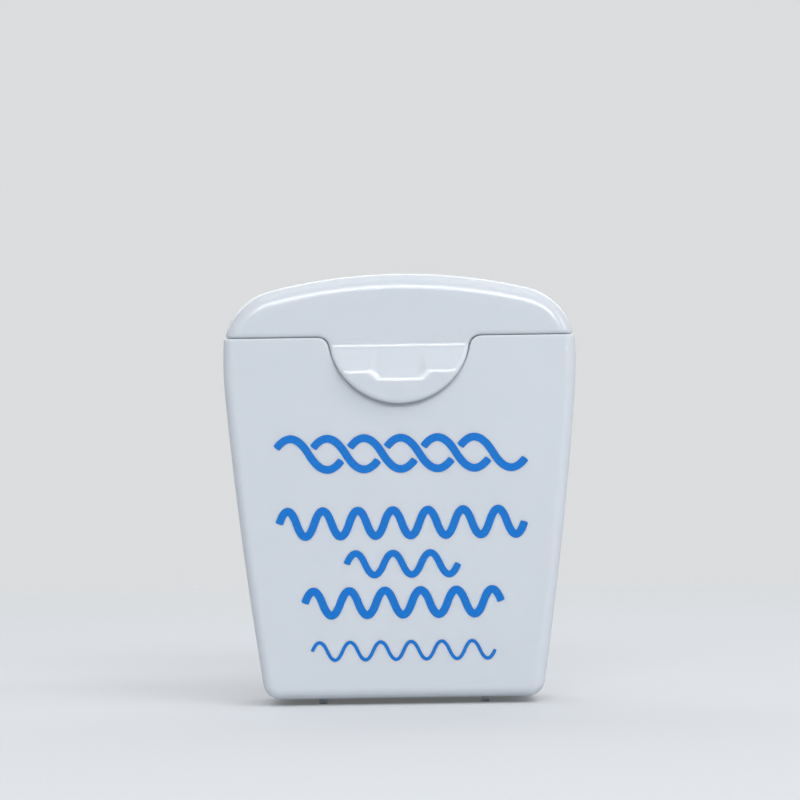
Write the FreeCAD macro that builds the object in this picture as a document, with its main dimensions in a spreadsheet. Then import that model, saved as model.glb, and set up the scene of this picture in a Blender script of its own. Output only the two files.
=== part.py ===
"""Flip-top dental floss dispenser, as a parametric document in millimetres.

The case stands on its base with +Z up, +X to the right and the front towards -Y. The origin lies under the
middle of the whole dispenser, level with the underside of the two strap hinges.
"""
import FreeCAD
import Part
import math
import os
import re
import Sketcher

from FreeCAD import Vector

DOCUMENT = FreeCAD.newDocument("floss_dispenser")

# Driving sizes: name, value in millimetres, what it is
DRIVING = [
    # Case outline, seen from the front
    ("widest_half_width", 26.0, "half of the case's greatest width"),
    ("shoulder_drop", 3.5, "how far the widest place lies below the seam"),
    ("shoulder_radius", 60.0, "rounding of the shoulder, through the widest place"),
    ("shoulder_reach", 5.3, "how far the shoulder's arc runs down from the widest place"),
    ("side_radius", 650.0, "slight bow of the tapering sides"),
    ("base_corner_radius", 2.5, "corner between side and base"),
    ("seam_rise", 53.0, "height of the seam between case and lid above the base"),
    # Case walls and split
    ("case_depth", 18.0, "depth of the case, front face to rear face"),
    ("case_wall", 1.3, "wall of both case halves"),
    ("case_edge_radius", 1.6, "rounded outer edges of the case"),
    ("front_shell_depth", 5.0, "depth of the front half"),
    ("lap_inset", 0.7, "outer skin left outside the lap joint"),
    ("lap_length", 1.2, "how far the front half laps into the rear half"),
    ("lap_clearance", 0.05, "clearance round the lap joint"),
    # Strap hinges under the base
    ("strap_drop", 1.0, "how far the folded straps hang below the base"),
    ("strap_width", 1.15, "width of one strap"),
    ("strap_thickness", 0.35, "thickness of one strap"),
    ("strap_loop_radius", 0.6, "outer radius of the folded strap"),
    ("strap_spacing", 24.0, "distance between the two straps"),
    # Lid
    ("lid_rise", 9.46, "height of the lid's crown above the seam"),
    ("lid_crown_radius", 80.0, "flat arc over the top of the lid"),
    ("lid_corner_radius", 9.1, "round corners of the lid"),
    ("lid_side_inset", 0.05, "how far the lid is set in from the case's sides"),
    ("lid_front_inset", 0.15, "how far the lid is set back from the case's front"),
    ("lid_edge_radius", 2.2, "rounded outer edges of the lid"),
    ("lid_wall", 1.2, "wall of the lid"),
    ("seam_gap", 0.12, "gap between the case's rim and the lid"),
    # Thumb tab on the lid
    ("tab_radius", 10.5, "half-moon of the tab"),
    ("tab_centre_rise", 0.66, "centre of the half-moon above the seam"),
    ("tab_fillet", 1.75, "sweep from the lid's lower edge into the tab"),
    ("tab_root", 2.0, "how far the tab's plate runs up into the lid's front wall"),
    ("tab_plate", 0.7, "thickness of the tab's plate where it leaves the lid"),
    ("tab_proud", 1.6, "how far the tab's lip stands out of the case's front"),
    ("tab_gap", 0.15, "gap between the tab and the case"),
    ("tab_bend_drop", 1.3, "where the tab starts to lean out, below the seam"),
    ("tab_crest_drop", 5.1, "where the tab stops leaning out, below the seam"),
    ("tab_bend_radius", 1.5, "soft bend where the tab starts to lean out"),
    ("tab_crest_radius", 1.8, "soft crest where the tab stops leaning out"),
    ("tab_rim_radius", 0.5, "rounded rim of the tab"),
    ("scoop_dip", 1.3, "how far the thumb scoop dips below the crest"),
    ("scoop_low_half_width", 2.5, "half width of the scoop at its foot"),
    ("scoop_crest_half_width", 3.9, "half width of the scoop at the crest"),
    ("scoop_start", 0.5, "where the scoop starts, below the bend"),
    ("scoop_wall_slant", 62.0, "slant of the scoop's side walls, in degrees"),
    ("scoop_rim_slant", 79.0, "slant of the softened rim of the side walls, in degrees"),
    ("scoop_rim_width", 0.6, "how far the softened rim reaches out round the scoop"),
    # Living hinge of the lid
    ("web_width", 30.0, "width of the living hinge"),
    ("web_thickness", 0.3, "thickness of the living hinge"),
    ("web_bulge", 0.25, "how far the closed hinge bows out of the rear face"),
    ("web_relief", 0.6, "how far case and lid are cut back above and below the hinge"),
    ("web_side_gap", 0.1, "gap at each end of the hinge"),
    # Deck insert
    ("deck_gap", 0.1, "clearance between the deck insert and the case"),
    ("deck_corner_radius", 1.5, "upright corners of the deck insert"),
    ("deck_skirt_depth", 6.5, "how far the insert's skirt reaches below the seam"),
    ("deck_skirt_wall", 1.0, "wall of the insert's skirt"),
    ("deck_floor_drop", 0.6, "top of the deck's floor, below the seam"),
    ("deck_floor", 1.2, "thickness of the deck's floor"),
    ("collar_inset", 0.8, "how far the collar is set in from the insert's skirt"),
    ("collar_wall", 1.0, "wall of the collar"),
    ("collar_rise", 1.6, "top of the collar above the seam"),
    ("collar_chamfer", 0.3, "chamfered rim of the collar"),
    ("catch_rise", 0.9, "height of the collar's catch ridge above the seam"),
    ("catch_ridge_radius", 0.4, "half-round catch ridge on the collar"),
    ("catch_half_width", 6.0, "half length of the catch ridge and of the lid's bead"),
    ("lid_bead_reach", 0.25, "how far the lid's catch bead stands out of its inner wall"),
    ("lid_bead_height", 0.4, "height of the lid's catch bead"),
    ("snap_bead_reach", 0.5, "how far the insert's snap beads stand out"),
    ("snap_bead_height", 1.0, "height of the insert's snap beads"),
    ("snap_bead_length", 5.0, "length of the insert's snap beads"),
    ("snap_bead_drop", 4.2, "middle of the insert's snap beads below the seam"),
    ("snap_bead_clearance", 0.08, "clearance round the snap beads in the case"),
    # Floss guide
    ("guide_offset", 13.0, "distance of the guide hole left of the middle"),
    ("guide_boss_radius", 2.4, "guide boss on the deck"),
    ("guide_hole_radius", 0.9, "hole that the floss comes up through"),
    ("guide_lip_radius", 0.6, "rounded lip on top of the guide hole"),
    ("guide_mouth_flare", 0.8, "flare under the guide hole"),
    # Cutter and its seat
    ("cutter_offset", 2.5, "distance of the cutter's middle left of the middle"),
    ("cutter_length", 9.0, "length of the cutter's plate"),
    ("cutter_width", 7.0, "width of the cutter's plate, front to rear"),
    ("cutter_gauge", 0.3, "sheet that the cutter is stamped from"),
    ("cutter_corner_radius", 0.8, "corners of the cutter's plate"),
    ("cutter_seat_margin", 0.5, "seat left round the cutter's plate"),
    ("cutter_leg_width", 2.6, "width of the cutter's two legs"),
    ("cutter_leg_length", 3.2, "length of the cutter's two legs"),
    ("cutter_leg_point", 0.6, "pointed end of the legs"),
    ("cutter_slot_clearance", 0.04, "clearance round the legs in the deck"),
    ("cutter_window_margin", 0.25, "window left round the raised tongue"),
    ("tongue_width", 4.0, "width of the cutter's tongue at its root"),
    ("tongue_tip_width", 1.0, "width of the tongue at its tip"),
    ("tongue_reach", 5.2, "length of the tongue in plan"),
    ("tongue_root_margin", 0.9, "plate left behind the tongue's root"),
    ("tongue_rise", 1.7, "height of the tongue's tip above the plate"),
    ("tongue_tooth_depth", 0.22, "depth of the cutting teeth"),
    # Hub post, sockets and pins
    ("hub_radius", 4.8, "outside of the hub post"),
    ("hub_wall", 1.7, "wall of the hub post"),
    ("hub_pin_clearance", 0.05, "clearance of the front half's pin in the hub post"),
    ("hub_pin_wall", 0.9, "wall of the hollow pin"),
    ("hub_pin_length", 4.0, "how far the pin stands out of the front wall"),
    ("hub_end_gap", 0.2, "gap between the hub post and the front wall"),
    ("thrust_ring_wall", 1.3, "wall of the rings that the core runs against"),
    ("thrust_ring_gap", 0.1, "gap between the front ring and the hub post"),
    ("socket_radius", 1.9, "outside of the corner sockets"),
    ("socket_pin_radius", 1.0, "corner pins on the front half"),
    ("socket_pin_clearance", 0.03, "clearance of the pins in their sockets"),
    ("socket_pin_reach", 4.0, "how far the pins run into the sockets"),
    ("socket_spare", 0.5, "depth of the sockets past the pins"),
    ("socket_end_gap", 0.1, "gap between the sockets and the bosses that face them"),
    ("socket_wall_gap", 0.7, "gap between the sockets and the side walls"),
    ("low_socket_rise", 5.5, "height of the lower sockets above the base"),
    ("high_socket_drop", 11.0, "how far the upper sockets lie below the seam"),
    ("rib_thickness", 1.2, "thickness of the ribs that carry the deck insert"),
    ("rib_gap", 0.05, "gap between the ribs and the insert's skirt"),
    # Floss
    ("spool_rise", 25.0, "height of the spool's axis above the base"),
    ("spool_play", 0.3, "end play of the core between its rings"),
    ("spool_clearance", 0.05, "running clearance of the core on the hub post"),
    ("core_wall", 1.65, "wall of the core"),
    ("core_length", 12.0, "length of the core"),
    ("core_chamfer", 0.3, "chamfered ends of the core"),
    ("core_slot_width", 1.2, "width of the core's drive slots"),
    ("core_slot_depth", 1.0, "depth of the core's drive slots"),
    ("winding_top_room", 2.7, "least room between the full winding and the deck's skirt"),
    ("winding_side_room", 3.2, "least room between the full winding and the case's side walls"),
    ("winding_width", 11.4, "width of the winding"),
    ("winding_shoulder", 1.2, "slant of the winding's outer corners"),
    ("strand_thickness", 0.3, "thickness of the flat waxed strand"),
    ("strand_width", 0.6, "width of the flat waxed strand, front to rear"),
    ("strand_lift", 0.02, "gap between the strand and what it lies on"),
    ("strand_gap", 0.1, "gap between the strand and the turning winding"),
    ("strand_guide_bend", 1.5, "bend of the strand over the guide's lip"),
    ("strand_entry_bend", 4.0, "bend of the strand into the guide hole"),
    ("strand_tail_bend", 1.6, "bends of the strand's tail"),
    ("strand_tail_past_cutter", 1.4, "where the tail turns down past the cutter"),
    ("strand_tail_slant", 2.2, "run of the tail on its way down"),
    ("strand_tail_length", 2.4, "end of the tail that lies on the deck"),
    # Working value
    ("overrun", 2.0, "how far a cut runs past what it cuts"),
]

# Sizes worked out from the driving ones
DERIVED = [
    ("base_level", "strap_drop"),
    ("front_face", "(tab_proud - case_depth - web_bulge) / 2"),
    ("rear_face", "front_face + case_depth"),
    ("parting_face", "front_face + front_shell_depth"),
    ("seam_level", "base_level + seam_rise"),
    ("shoulder_level", "seam_level - shoulder_drop"),
    ("shoulder_across", "widest_half_width - shoulder_radius"),
    ("joint_sine", "shoulder_reach / shoulder_radius"),
    ("joint_cosine", "sqrt(1 - joint_sine ^ 2)"),
    ("side_across", "shoulder_across - (side_radius - shoulder_radius) * joint_cosine"),
    ("side_level", "shoulder_level + (side_radius - shoulder_radius) * joint_sine"),
    ("corner_level", "base_level + base_corner_radius"),
    ("corner_swing", "side_radius - base_corner_radius"),
    ("corner_across", "side_across + sqrt(corner_swing ^ 2 - (side_level - corner_level) ^ 2)"),
    ("corner_cosine", "(corner_across - side_across) / corner_swing"),
    ("corner_sine", "(side_level - corner_level) / corner_swing"),
    ("lid_bottom", "seam_level + seam_gap"),
    ("lid_front", "front_face + lid_front_inset"),
    ("lid_across", "widest_half_width - lid_side_inset - lid_corner_radius"),
    ("crown_level", "seam_level + lid_rise - lid_crown_radius"),
    ("crown_swing", "lid_crown_radius - lid_corner_radius"),
    ("lid_corner_level", "crown_level + sqrt(crown_swing ^ 2 - lid_across ^ 2)"),
    ("crown_sine", "lid_across / crown_swing"),
    ("crown_cosine", "(lid_corner_level - crown_level) / crown_swing"),
    ("tab_level", "seam_level + tab_centre_rise"),
    ("tab_swing", "tab_radius + tab_fillet"),
    ("tab_fillet_level", "lid_bottom - tab_fillet"),
    ("tab_fillet_across", "sqrt(tab_swing ^ 2 - (tab_level - tab_fillet_level) ^ 2)"),
    ("bend_level", "seam_level - tab_bend_drop"),
    ("crest_level", "seam_level - tab_crest_drop"),
    ("tab_lip", "front_face - tab_proud"),
    ("lean_run", "lid_front - tab_lip"),
    ("lean_rise", "bend_level - crest_level"),
    ("lean_length", "sqrt(lean_run ^ 2 + lean_rise ^ 2)"),
    ("lean_half_tangent", "(lean_length - lean_rise) / lean_run"),
    ("scoop_top", "bend_level - scoop_start"),
    ("scoop_run", "lean_run * (lean_rise - scoop_start) / lean_rise"),
    ("scoop_rise", "scoop_top - crest_level + scoop_dip"),
    ("scoop_length", "sqrt(scoop_run ^ 2 + scoop_rise ^ 2)"),
    ("scoop_setback", "tab_crest_radius * (scoop_length - scoop_rise) / scoop_run"),
    ("scoop_foot", "crest_level - scoop_dip - scoop_setback"),
    ("scoop_spread", "(scoop_crest_half_width - scoop_low_half_width) / scoop_dip"),
    ("scoop_high", "bend_level + lean_run * tan(scoop_wall_slant)"),
    ("scoop_rim_depth", "scoop_rim_width / (tan(scoop_rim_slant) - tan(scoop_wall_slant))"),
    ("web_chord", "2 * web_relief + seam_gap"),
    ("web_arc_radius", "(web_chord ^ 2 / 4 + web_bulge ^ 2) / (2 * web_bulge)"),
    ("deck_half_width", "shoulder_across + sqrt((shoulder_radius - case_wall) ^ 2"
     " - (shoulder_level - seam_level) ^ 2) - deck_gap"),
    ("deck_front", "front_face + case_wall + deck_gap"),
    ("deck_rear", "rear_face - case_wall - deck_gap"),
    ("deck_bottom", "seam_level - deck_skirt_depth"),
    ("deck_level", "seam_level - deck_floor_drop"),
    ("collar_level", "seam_level + collar_rise"),
    ("catch_level", "seam_level + catch_rise"),
    ("snap_level", "seam_level - snap_bead_drop"),
    ("floss_level", "collar_level + strand_thickness / 2 + strand_lift"),
    ("cutter_top", "collar_level - strand_lift"),
    ("seat_level", "cutter_top - cutter_gauge"),
    ("spool_level", "base_level + spool_rise"),
    ("spool_middle", "(front_face + rear_face) / 2"),
    ("core_bore", "hub_radius + spool_clearance"),
    ("core_radius", "core_bore + core_wall"),
    ("spool_side", "side_across - case_wall + sqrt(side_radius ^ 2 - (side_level - spool_level) ^ 2)"),
    ("winding_radius", "min(deck_bottom - winding_top_room - spool_level; spool_side - winding_side_room)"),
    ("thrust_span", "core_length + spool_play"),
    ("thrust_height", "(case_depth - 2 * case_wall - thrust_span) / 2"),
    ("low_socket_level", "base_level + low_socket_rise"),
    ("high_socket_level", "seam_level - high_socket_drop"),
    ("socket_inset", "case_wall + socket_wall_gap + socket_radius"),
    ("low_socket_across", "side_across - socket_inset + sqrt(side_radius ^ 2"
     " - (side_level - low_socket_level) ^ 2)"),
    ("high_socket_across", "side_across - socket_inset + sqrt(side_radius ^ 2"
     " - (side_level - high_socket_level) ^ 2)"),
]

# How near two places lie that count as the same
TOUCH = 1e-4
# Teeth along each edge of the cutter's tongue
TOOTH_COUNT = 5
# Drive slots in the end of the core
CORE_SLOT_COUNT = 3
# How far the strand's volume may be from its section times its length, as a share
STRAND_VOLUME_TOLERANCE = 0.01

SIZES = DOCUMENT.addObject("Spreadsheet::Sheet", "Sizes")
ALIASES = [row[0] for row in DRIVING] + [row[0] for row in DERIVED]


def fill_sheet():
    """Write every size into the sheet, one row each, with its name as the cell's alias."""
    for row, (name, size, note) in enumerate(DRIVING, start=1):
        SIZES.set(f"A{row}", name)
        SIZES.set(f"B{row}", str(size))
        SIZES.set(f"C{row}", note)
        SIZES.setAlias(f"B{row}", name)
    for row, (name, formula) in enumerate(DERIVED, start=len(DRIVING) + 1):
        SIZES.set(f"A{row}", name)
        SIZES.set(f"B{row}", "=" + formula)
        SIZES.setAlias(f"B{row}", name)
    DOCUMENT.recompute()


def bound(formula):
    """Return a formula with every size in it read from the sheet."""
    return re.sub(r"[a-z_]+", lambda word: "Sizes." + word[0] if word[0] in ALIASES else word[0], formula)


def size(formula):
    """Return what a formula comes to now, as a number."""
    return float(SIZES.evalExpression(formula))


def shoulder_half_width(level, inset="0"):
    """Return the formula of the case's half width at the shoulder, set in by a wall."""
    return f"shoulder_across + sqrt((shoulder_radius - {inset}) ^ 2 - (shoulder_level - ({level})) ^ 2)"


def lid_half_width(level, inset="0"):
    """Return the formula of the lid's half width at its round corners, set in by a wall."""
    return f"lid_across + sqrt((lid_corner_radius - {inset}) ^ 2 - (lid_corner_level - ({level})) ^ 2)"


def new_body(name):
    """Add an empty body, whose label names the piece."""
    body = DOCUMENT.addObject("PartDesign::Body", name)
    body.Label = name
    return body


PLANE_SIGN = {"XY_Plane": 1, "XZ_Plane": -1, "YZ_Plane": 1}


def new_sketch(body, name, plane, place="0"):
    """Add a sketch on one of the body's own planes, moved along the plane's axis to a place."""
    sketch = body.newObject("Sketcher::SketchObject", name)
    planes = [feature for feature in body.Origin.OriginFeatures if feature.Role == plane]
    sketch.AttachmentSupport = [(planes[0], "")]
    sketch.MapMode = "FlatFace"
    sign = "-" if PLANE_SIGN[plane] < 0 else ""
    sketch.setExpression("AttachmentOffset.Base.z", f"{sign}({bound(place)})")
    return sketch


def pin_down(sketch, kind, geometry, point, formula):
    """Bind one coordinate of a sketch's point to a formula."""
    constraint = Sketcher.Constraint(kind, -1, 1, geometry, point, size(formula))
    index = sketch.addConstraint(constraint)
    sketch.setExpression(f"Constraints[{index}]", bound(formula))


def bind_radius(sketch, geometry, formula):
    """Bind the radius of a circle or an arc to a formula."""
    index = sketch.addConstraint(Sketcher.Constraint("Radius", geometry, size(formula)))
    sketch.setExpression(f"Constraints[{index}]", bound(formula))


def draw_circle(sketch, across, up, radius):
    """Draw a circle whose centre and radius follow formulas."""
    centre = Vector(size(across), size(up), 0)
    index = sketch.addGeometry(Part.Circle(centre, Vector(0, 0, 1), size(radius)), False)
    pin_down(sketch, "DistanceX", index, 3, across)
    pin_down(sketch, "DistanceY", index, 3, up)
    bind_radius(sketch, index, radius)


def arc_between(start, end, radius, left):
    """Return the arc of under a half circle from start to end, with its centre on the left or the right."""
    chord = end - start
    height = math.sqrt(radius * radius - chord.Length * chord.Length / 4)
    aside = Vector(-chord.y, chord.x, 0).normalize() * (height if left else -height)
    centre = (start + end) / 2 + aside
    first, last = (start, end) if left else (end, start)
    angles = [math.atan2(point.y - centre.y, point.x - centre.x) for point in (first, last)]
    return Part.ArcOfCircle(Part.Circle(centre, Vector(0, 0, 1), radius), angles[0], angles[1])


def draw_outline(sketch, corners):
    """Draw a closed outline, anticlockwise, whose corners and arcs follow formulas.

    Each corner is (across, up, radius, bow): the radius formula of the arc to the next corner, or None for a
    straight edge, and whether that arc bows "out" or "in".
    """
    points = [Vector(size(corner[0]), size(corner[1]), 0) for corner in corners]
    ends = []
    for index, (across, up, radius, bow) in enumerate(corners):
        start = points[index]
        end = points[(index + 1) % len(points)]
        if radius is None:
            geometry = sketch.addGeometry(Part.LineSegment(start, end), False)
            ends.append((geometry, 1, 2))
        else:
            arc = arc_between(start, end, size(radius), bow == "out")
            geometry = sketch.addGeometry(arc, False)
            ends.append((geometry, 1, 2) if bow == "out" else (geometry, 2, 1))
    for index, (geometry, start, end) in enumerate(ends):
        after, after_start, after_end = ends[(index + 1) % len(ends)]
        sketch.addConstraint(Sketcher.Constraint("Coincident", geometry, end, after, after_start))
    for (geometry, start, end), (across, up, radius, bow) in zip(ends, corners):
        pin_down(sketch, "DistanceX", geometry, start, across)
        pin_down(sketch, "DistanceY", geometry, start, up)
        if radius is not None:
            bind_radius(sketch, geometry, radius)


def straight(across, up):
    """Return a corner that a straight edge leaves."""
    return (across, up, None, None)


def curved(across, up, radius, bow="out"):
    """Return a corner that an arc leaves."""
    return (across, up, radius, bow)


def both_sides(half, closing=(None, None)):
    """Return a whole symmetric outline from its right half, which runs upwards.

    The arc that leaves a corner on the right arrives at its mirror image on the left. The closing pair is the
    radius and the bow of the arc from the last corner on the left to the first on the right.
    """
    left = []
    for index in range(len(half) - 1, -1, -1):
        across, up = half[index][0], half[index][1]
        radius, bow = (half[index - 1][2], half[index - 1][3]) if index > 0 else closing
        left.append((f"-({across})", up, radius, bow))
    return half + left


def draw_rectangle(sketch, left, right, low, high):
    """Draw a rectangle whose four sides follow formulas."""
    draw_outline(sketch, [straight(left, low), straight(right, low), straight(right, high), straight(left, high)])


def draw_rounded_rectangle(sketch, left, right, low, high, radius):
    """Draw a rectangle with round corners."""
    draw_outline(sketch, [
        straight(f"{left} + {radius}", low), curved(f"{right} - ({radius})", low, radius),
        straight(right, f"{low} + {radius}"), curved(right, f"{high} - ({radius})", radius),
        straight(f"{right} - ({radius})", high), curved(f"{left} + {radius}", high, radius),
        straight(left, f"{high} - ({radius})"), curved(left, f"{low} + {radius}", radius),
    ])


def draw_case_outline(sketch, inset, top):
    """Draw the case's outline as seen from the front, set in by a wall, up to a level."""
    draw_outline(sketch, both_sides([
        curved("corner_across", f"base_level + {inset}", f"base_corner_radius - {inset}"),
        curved(f"corner_across + (base_corner_radius - {inset}) * corner_cosine",
               f"corner_level - (base_corner_radius - {inset}) * corner_sine", f"side_radius - {inset}"),
        curved(f"shoulder_across + (shoulder_radius - {inset}) * joint_cosine",
               f"shoulder_level - (shoulder_radius - {inset}) * joint_sine", f"shoulder_radius - {inset}"),
        straight(shoulder_half_width(top, inset), top),
    ]))


def draw_lid_outline(sketch, inset, bottom):
    """Draw the lid's outline as seen from the front, set in by a wall, from a level upwards."""
    draw_outline(sketch, both_sides([
        curved(lid_half_width(bottom, inset), bottom, f"lid_corner_radius - {inset}"),
        curved(f"(lid_crown_radius - {inset}) * crown_sine",
               f"crown_level + (lid_crown_radius - {inset}) * crown_cosine", f"lid_crown_radius - {inset}"),
    ]))


def draw_tab_outline(sketch, grow):
    """Draw the tab's half-moon with its two sweeps into the lid's lower edge, grown by a gap."""
    moon = f"(tab_radius + {grow})"
    draw_outline(sketch, both_sides([
        curved(f"{moon} * tab_fillet_across / tab_swing",
               f"tab_level - {moon} * (tab_level - tab_fillet_level) / tab_swing", f"tab_fillet - {grow}", "in"),
        straight("tab_fillet_across", f"lid_bottom - {grow}"),
        straight("tab_fillet_across", "lid_bottom + tab_root"),
    ], closing=(moon, "out")))


def draw_scoop_outline(sketch, grow):
    """Draw the thumb scoop's fan, which widens upwards, grown on its foot and sides."""
    side = f"{grow} * sqrt(1 + scoop_spread ^ 2)"
    narrow = f"(scoop_low_half_width + {side} - {grow} * scoop_spread)"
    wide = f"(scoop_low_half_width + {side} + scoop_spread * (scoop_high - scoop_foot))"
    draw_outline(sketch, [straight(f"-{narrow}", f"scoop_foot - {grow}"), straight(narrow, f"scoop_foot - {grow}"),
                          straight(wide, "scoop_high"), straight(f"-{wide}", "scoop_high")])


def plane_of(sketch):
    """Return the role of the plane that a sketch lies on."""
    return sketch.AttachmentSupport[0][0].Role


def pad(body, sketch, length, towards=1, symmetric=False):
    """Add material from a sketch, towards the plus or minus side of its axis or to both."""
    before = body.Shape.Volume if body.Tip else 0
    feature = body.newObject("PartDesign::Pad", sketch.Name + "_pad")
    feature.Profile = sketch
    feature.setExpression("Length", bound(length))
    if symmetric:
        feature.SideType = "Symmetric"
    feature.Reversed = towards != PLANE_SIGN[plane_of(sketch)]
    DOCUMENT.recompute()
    if body.Shape.Volume <= before:
        raise RuntimeError(f"{feature.Name} adds nothing")
    return feature


def pocket(body, sketch, length, towards=1, symmetric=False):
    """Take material away with a sketch, towards the plus or minus side of its axis or to both."""
    before = body.Shape.Volume
    feature = body.newObject("PartDesign::Pocket", sketch.Name + "_pocket")
    feature.Profile = sketch
    feature.setExpression("Length", bound(length))
    if symmetric:
        feature.SideType = "Symmetric"
    feature.Reversed = towards == PLANE_SIGN[plane_of(sketch)]
    DOCUMENT.recompute()
    if body.Shape.Volume >= before:
        raise RuntimeError(f"{feature.Name} cuts nothing")
    return feature


def edges_where(shape, test):
    """Return the names of the edges that a test picks."""
    return [f"Edge{index}" for index, edge in enumerate(shape.Edges, start=1) if test(edge)]


def lies_at(edge, axis, place):
    """Tell whether a whole edge lies in the plane at a place along an axis."""
    box = edge.BoundBox
    low, high = {"x": (box.XMin, box.XMax), "y": (box.YMin, box.YMax), "z": (box.ZMin, box.ZMax)}[axis]
    near = size(place)
    return abs(low - near) < TOUCH and abs(high - near) < TOUCH


def is_round(edge, radius):
    """Tell whether an edge is an arc or a circle of a radius."""
    return isinstance(edge.Curve, Part.Circle) and abs(edge.Curve.Radius - size(radius)) < TOUCH


def round_edges(body, name, test, radius):
    """Round the edges of a body that a test picks."""
    base = body.Tip
    feature = body.newObject("PartDesign::Fillet", name)
    feature.Base = (base, edges_where(base.Shape, test))
    feature.setExpression("Radius", bound(radius))
    DOCUMENT.recompute()
    return feature


def chamfer_edges(body, name, test, flat):
    """Chamfer the edges of a body that a test picks."""
    base = body.Tip
    feature = body.newObject("PartDesign::Chamfer", name)
    feature.Base = (base, edges_where(base.Shape, test))
    feature.setExpression("Size", bound(flat))
    DOCUMENT.recompute()
    return feature


def cut_away(name, body, tool):
    """Cut a tool body out of a body, and give the result the piece's name."""
    cut = DOCUMENT.addObject("Part::Cut", name)
    cut.Label = name
    cut.Base = body
    cut.Tool = tool
    DOCUMENT.recompute()
    if cut.Shape.Volume >= body.Shape.Volume:
        raise RuntimeError(f"{name} is not cut")
    return cut


def build_rear_shell():
    """Rear half of the case: a deep tray with the hub post, corner sockets and deck ribs moulded in."""
    body = new_body("rear_shell")
    block = new_sketch(body, "rear_block", "XZ_Plane", "parting_face")
    draw_case_outline(block, "0", "seam_level")
    pad(body, block, "rear_face - parting_face")
    round_edges(body, "rear_rounding", lambda edge: lies_at(edge, "y", "rear_face")
                and not lies_at(edge, "z", "seam_level"), "case_edge_radius")
    cavity = new_sketch(body, "rear_cavity", "XZ_Plane", "parting_face")
    draw_case_outline(cavity, "case_wall", "seam_level + overrun")
    pocket(body, cavity, "rear_face - parting_face - case_wall")
    rebate = new_sketch(body, "rear_rebate", "XZ_Plane", "parting_face")
    draw_case_outline(rebate, "(lap_inset - lap_clearance)", "seam_level + overrun")
    pocket(body, rebate, "lap_length + lap_clearance")

    hub = new_sketch(body, "hub_post", "XZ_Plane", "rear_face - case_wall")
    draw_circle(hub, "0", "spool_level", "hub_radius")
    draw_circle(hub, "0", "spool_level", "hub_radius - hub_wall")
    pad(body, hub, "case_depth - 2 * case_wall - hub_end_gap", towards=-1)
    ring = new_sketch(body, "rear_thrust_ring", "XZ_Plane", "rear_face - case_wall")
    draw_circle(ring, "0", "spool_level", "hub_radius + thrust_ring_wall")
    draw_circle(ring, "0", "spool_level", "hub_radius - hub_wall")
    pad(body, ring, "thrust_height", towards=-1)

    sockets = new_sketch(body, "corner_sockets", "XZ_Plane", "rear_face - case_wall")
    bores = []
    for height in ("low", "high"):
        for side in ("", "-"):
            draw_circle(sockets, f"{side}{height}_socket_across", f"{height}_socket_level", "socket_radius")
            bores.append((f"{side}{height}_socket_across", f"{height}_socket_level"))
    pad(body, sockets, "rear_face - case_wall - parting_face", towards=-1)
    draw_deck_ribs(body, "rear_deck_ribs", "rear_face - case_wall", "rear_face - case_wall - parting_face", -1)
    bore = new_sketch(body, "socket_bores", "XZ_Plane", "parting_face")
    for across, level in bores:
        draw_circle(bore, across, level, "socket_pin_radius + socket_pin_clearance")
    pocket(body, bore, "socket_pin_reach + socket_spare")

    for side in ("", "-"):
        name = "snap_groove_left" if side else "snap_groove_right"
        groove = new_sketch(body, name, "XZ_Plane",
                            "spool_middle - snap_bead_length / 2 - snap_bead_clearance")
        draw_snap_wedge(groove, side, "snap_bead_clearance")
        pocket(body, groove, "snap_bead_length + 2 * snap_bead_clearance")
    relief = new_sketch(body, "rear_hinge_relief", "YZ_Plane")
    draw_rectangle(relief, "rear_face - overrun", "rear_face + overrun",
                   "seam_level - web_relief", "seam_level + overrun")
    pocket(body, relief, "web_width + 2 * web_side_gap", symmetric=True)
    return body


def draw_deck_ribs(body, name, place, length, towards):
    """Add the two upright ribs over the upper corner bosses, which the deck insert stands on."""
    ribs = new_sketch(body, name, "XZ_Plane", place)
    for side in ("", "-"):
        draw_rectangle(ribs, f"{side}high_socket_across - rib_thickness / 2",
                       f"{side}high_socket_across + rib_thickness / 2",
                       "high_socket_level + socket_pin_radius + socket_pin_clearance",
                       "deck_bottom - rib_gap")
    pad(body, ribs, length, towards)


def draw_snap_wedge(sketch, side, grow):
    """Draw the wedge of a snap bead on one side of the deck insert, grown by a clearance."""
    inner = f"{side}(deck_half_width - deck_skirt_wall / 2)"
    face = f"{side}(deck_half_width)"
    point = f"{side}(deck_half_width + snap_bead_reach + {grow})"
    low = f"snap_level - snap_bead_height / 2 - {grow}"
    high = f"snap_level + snap_bead_height / 2 + {grow}"
    draw_outline(sketch, [straight(inner, low), straight(face, low), straight(point, "snap_level"),
                          straight(face, high), straight(inner, high)])


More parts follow.
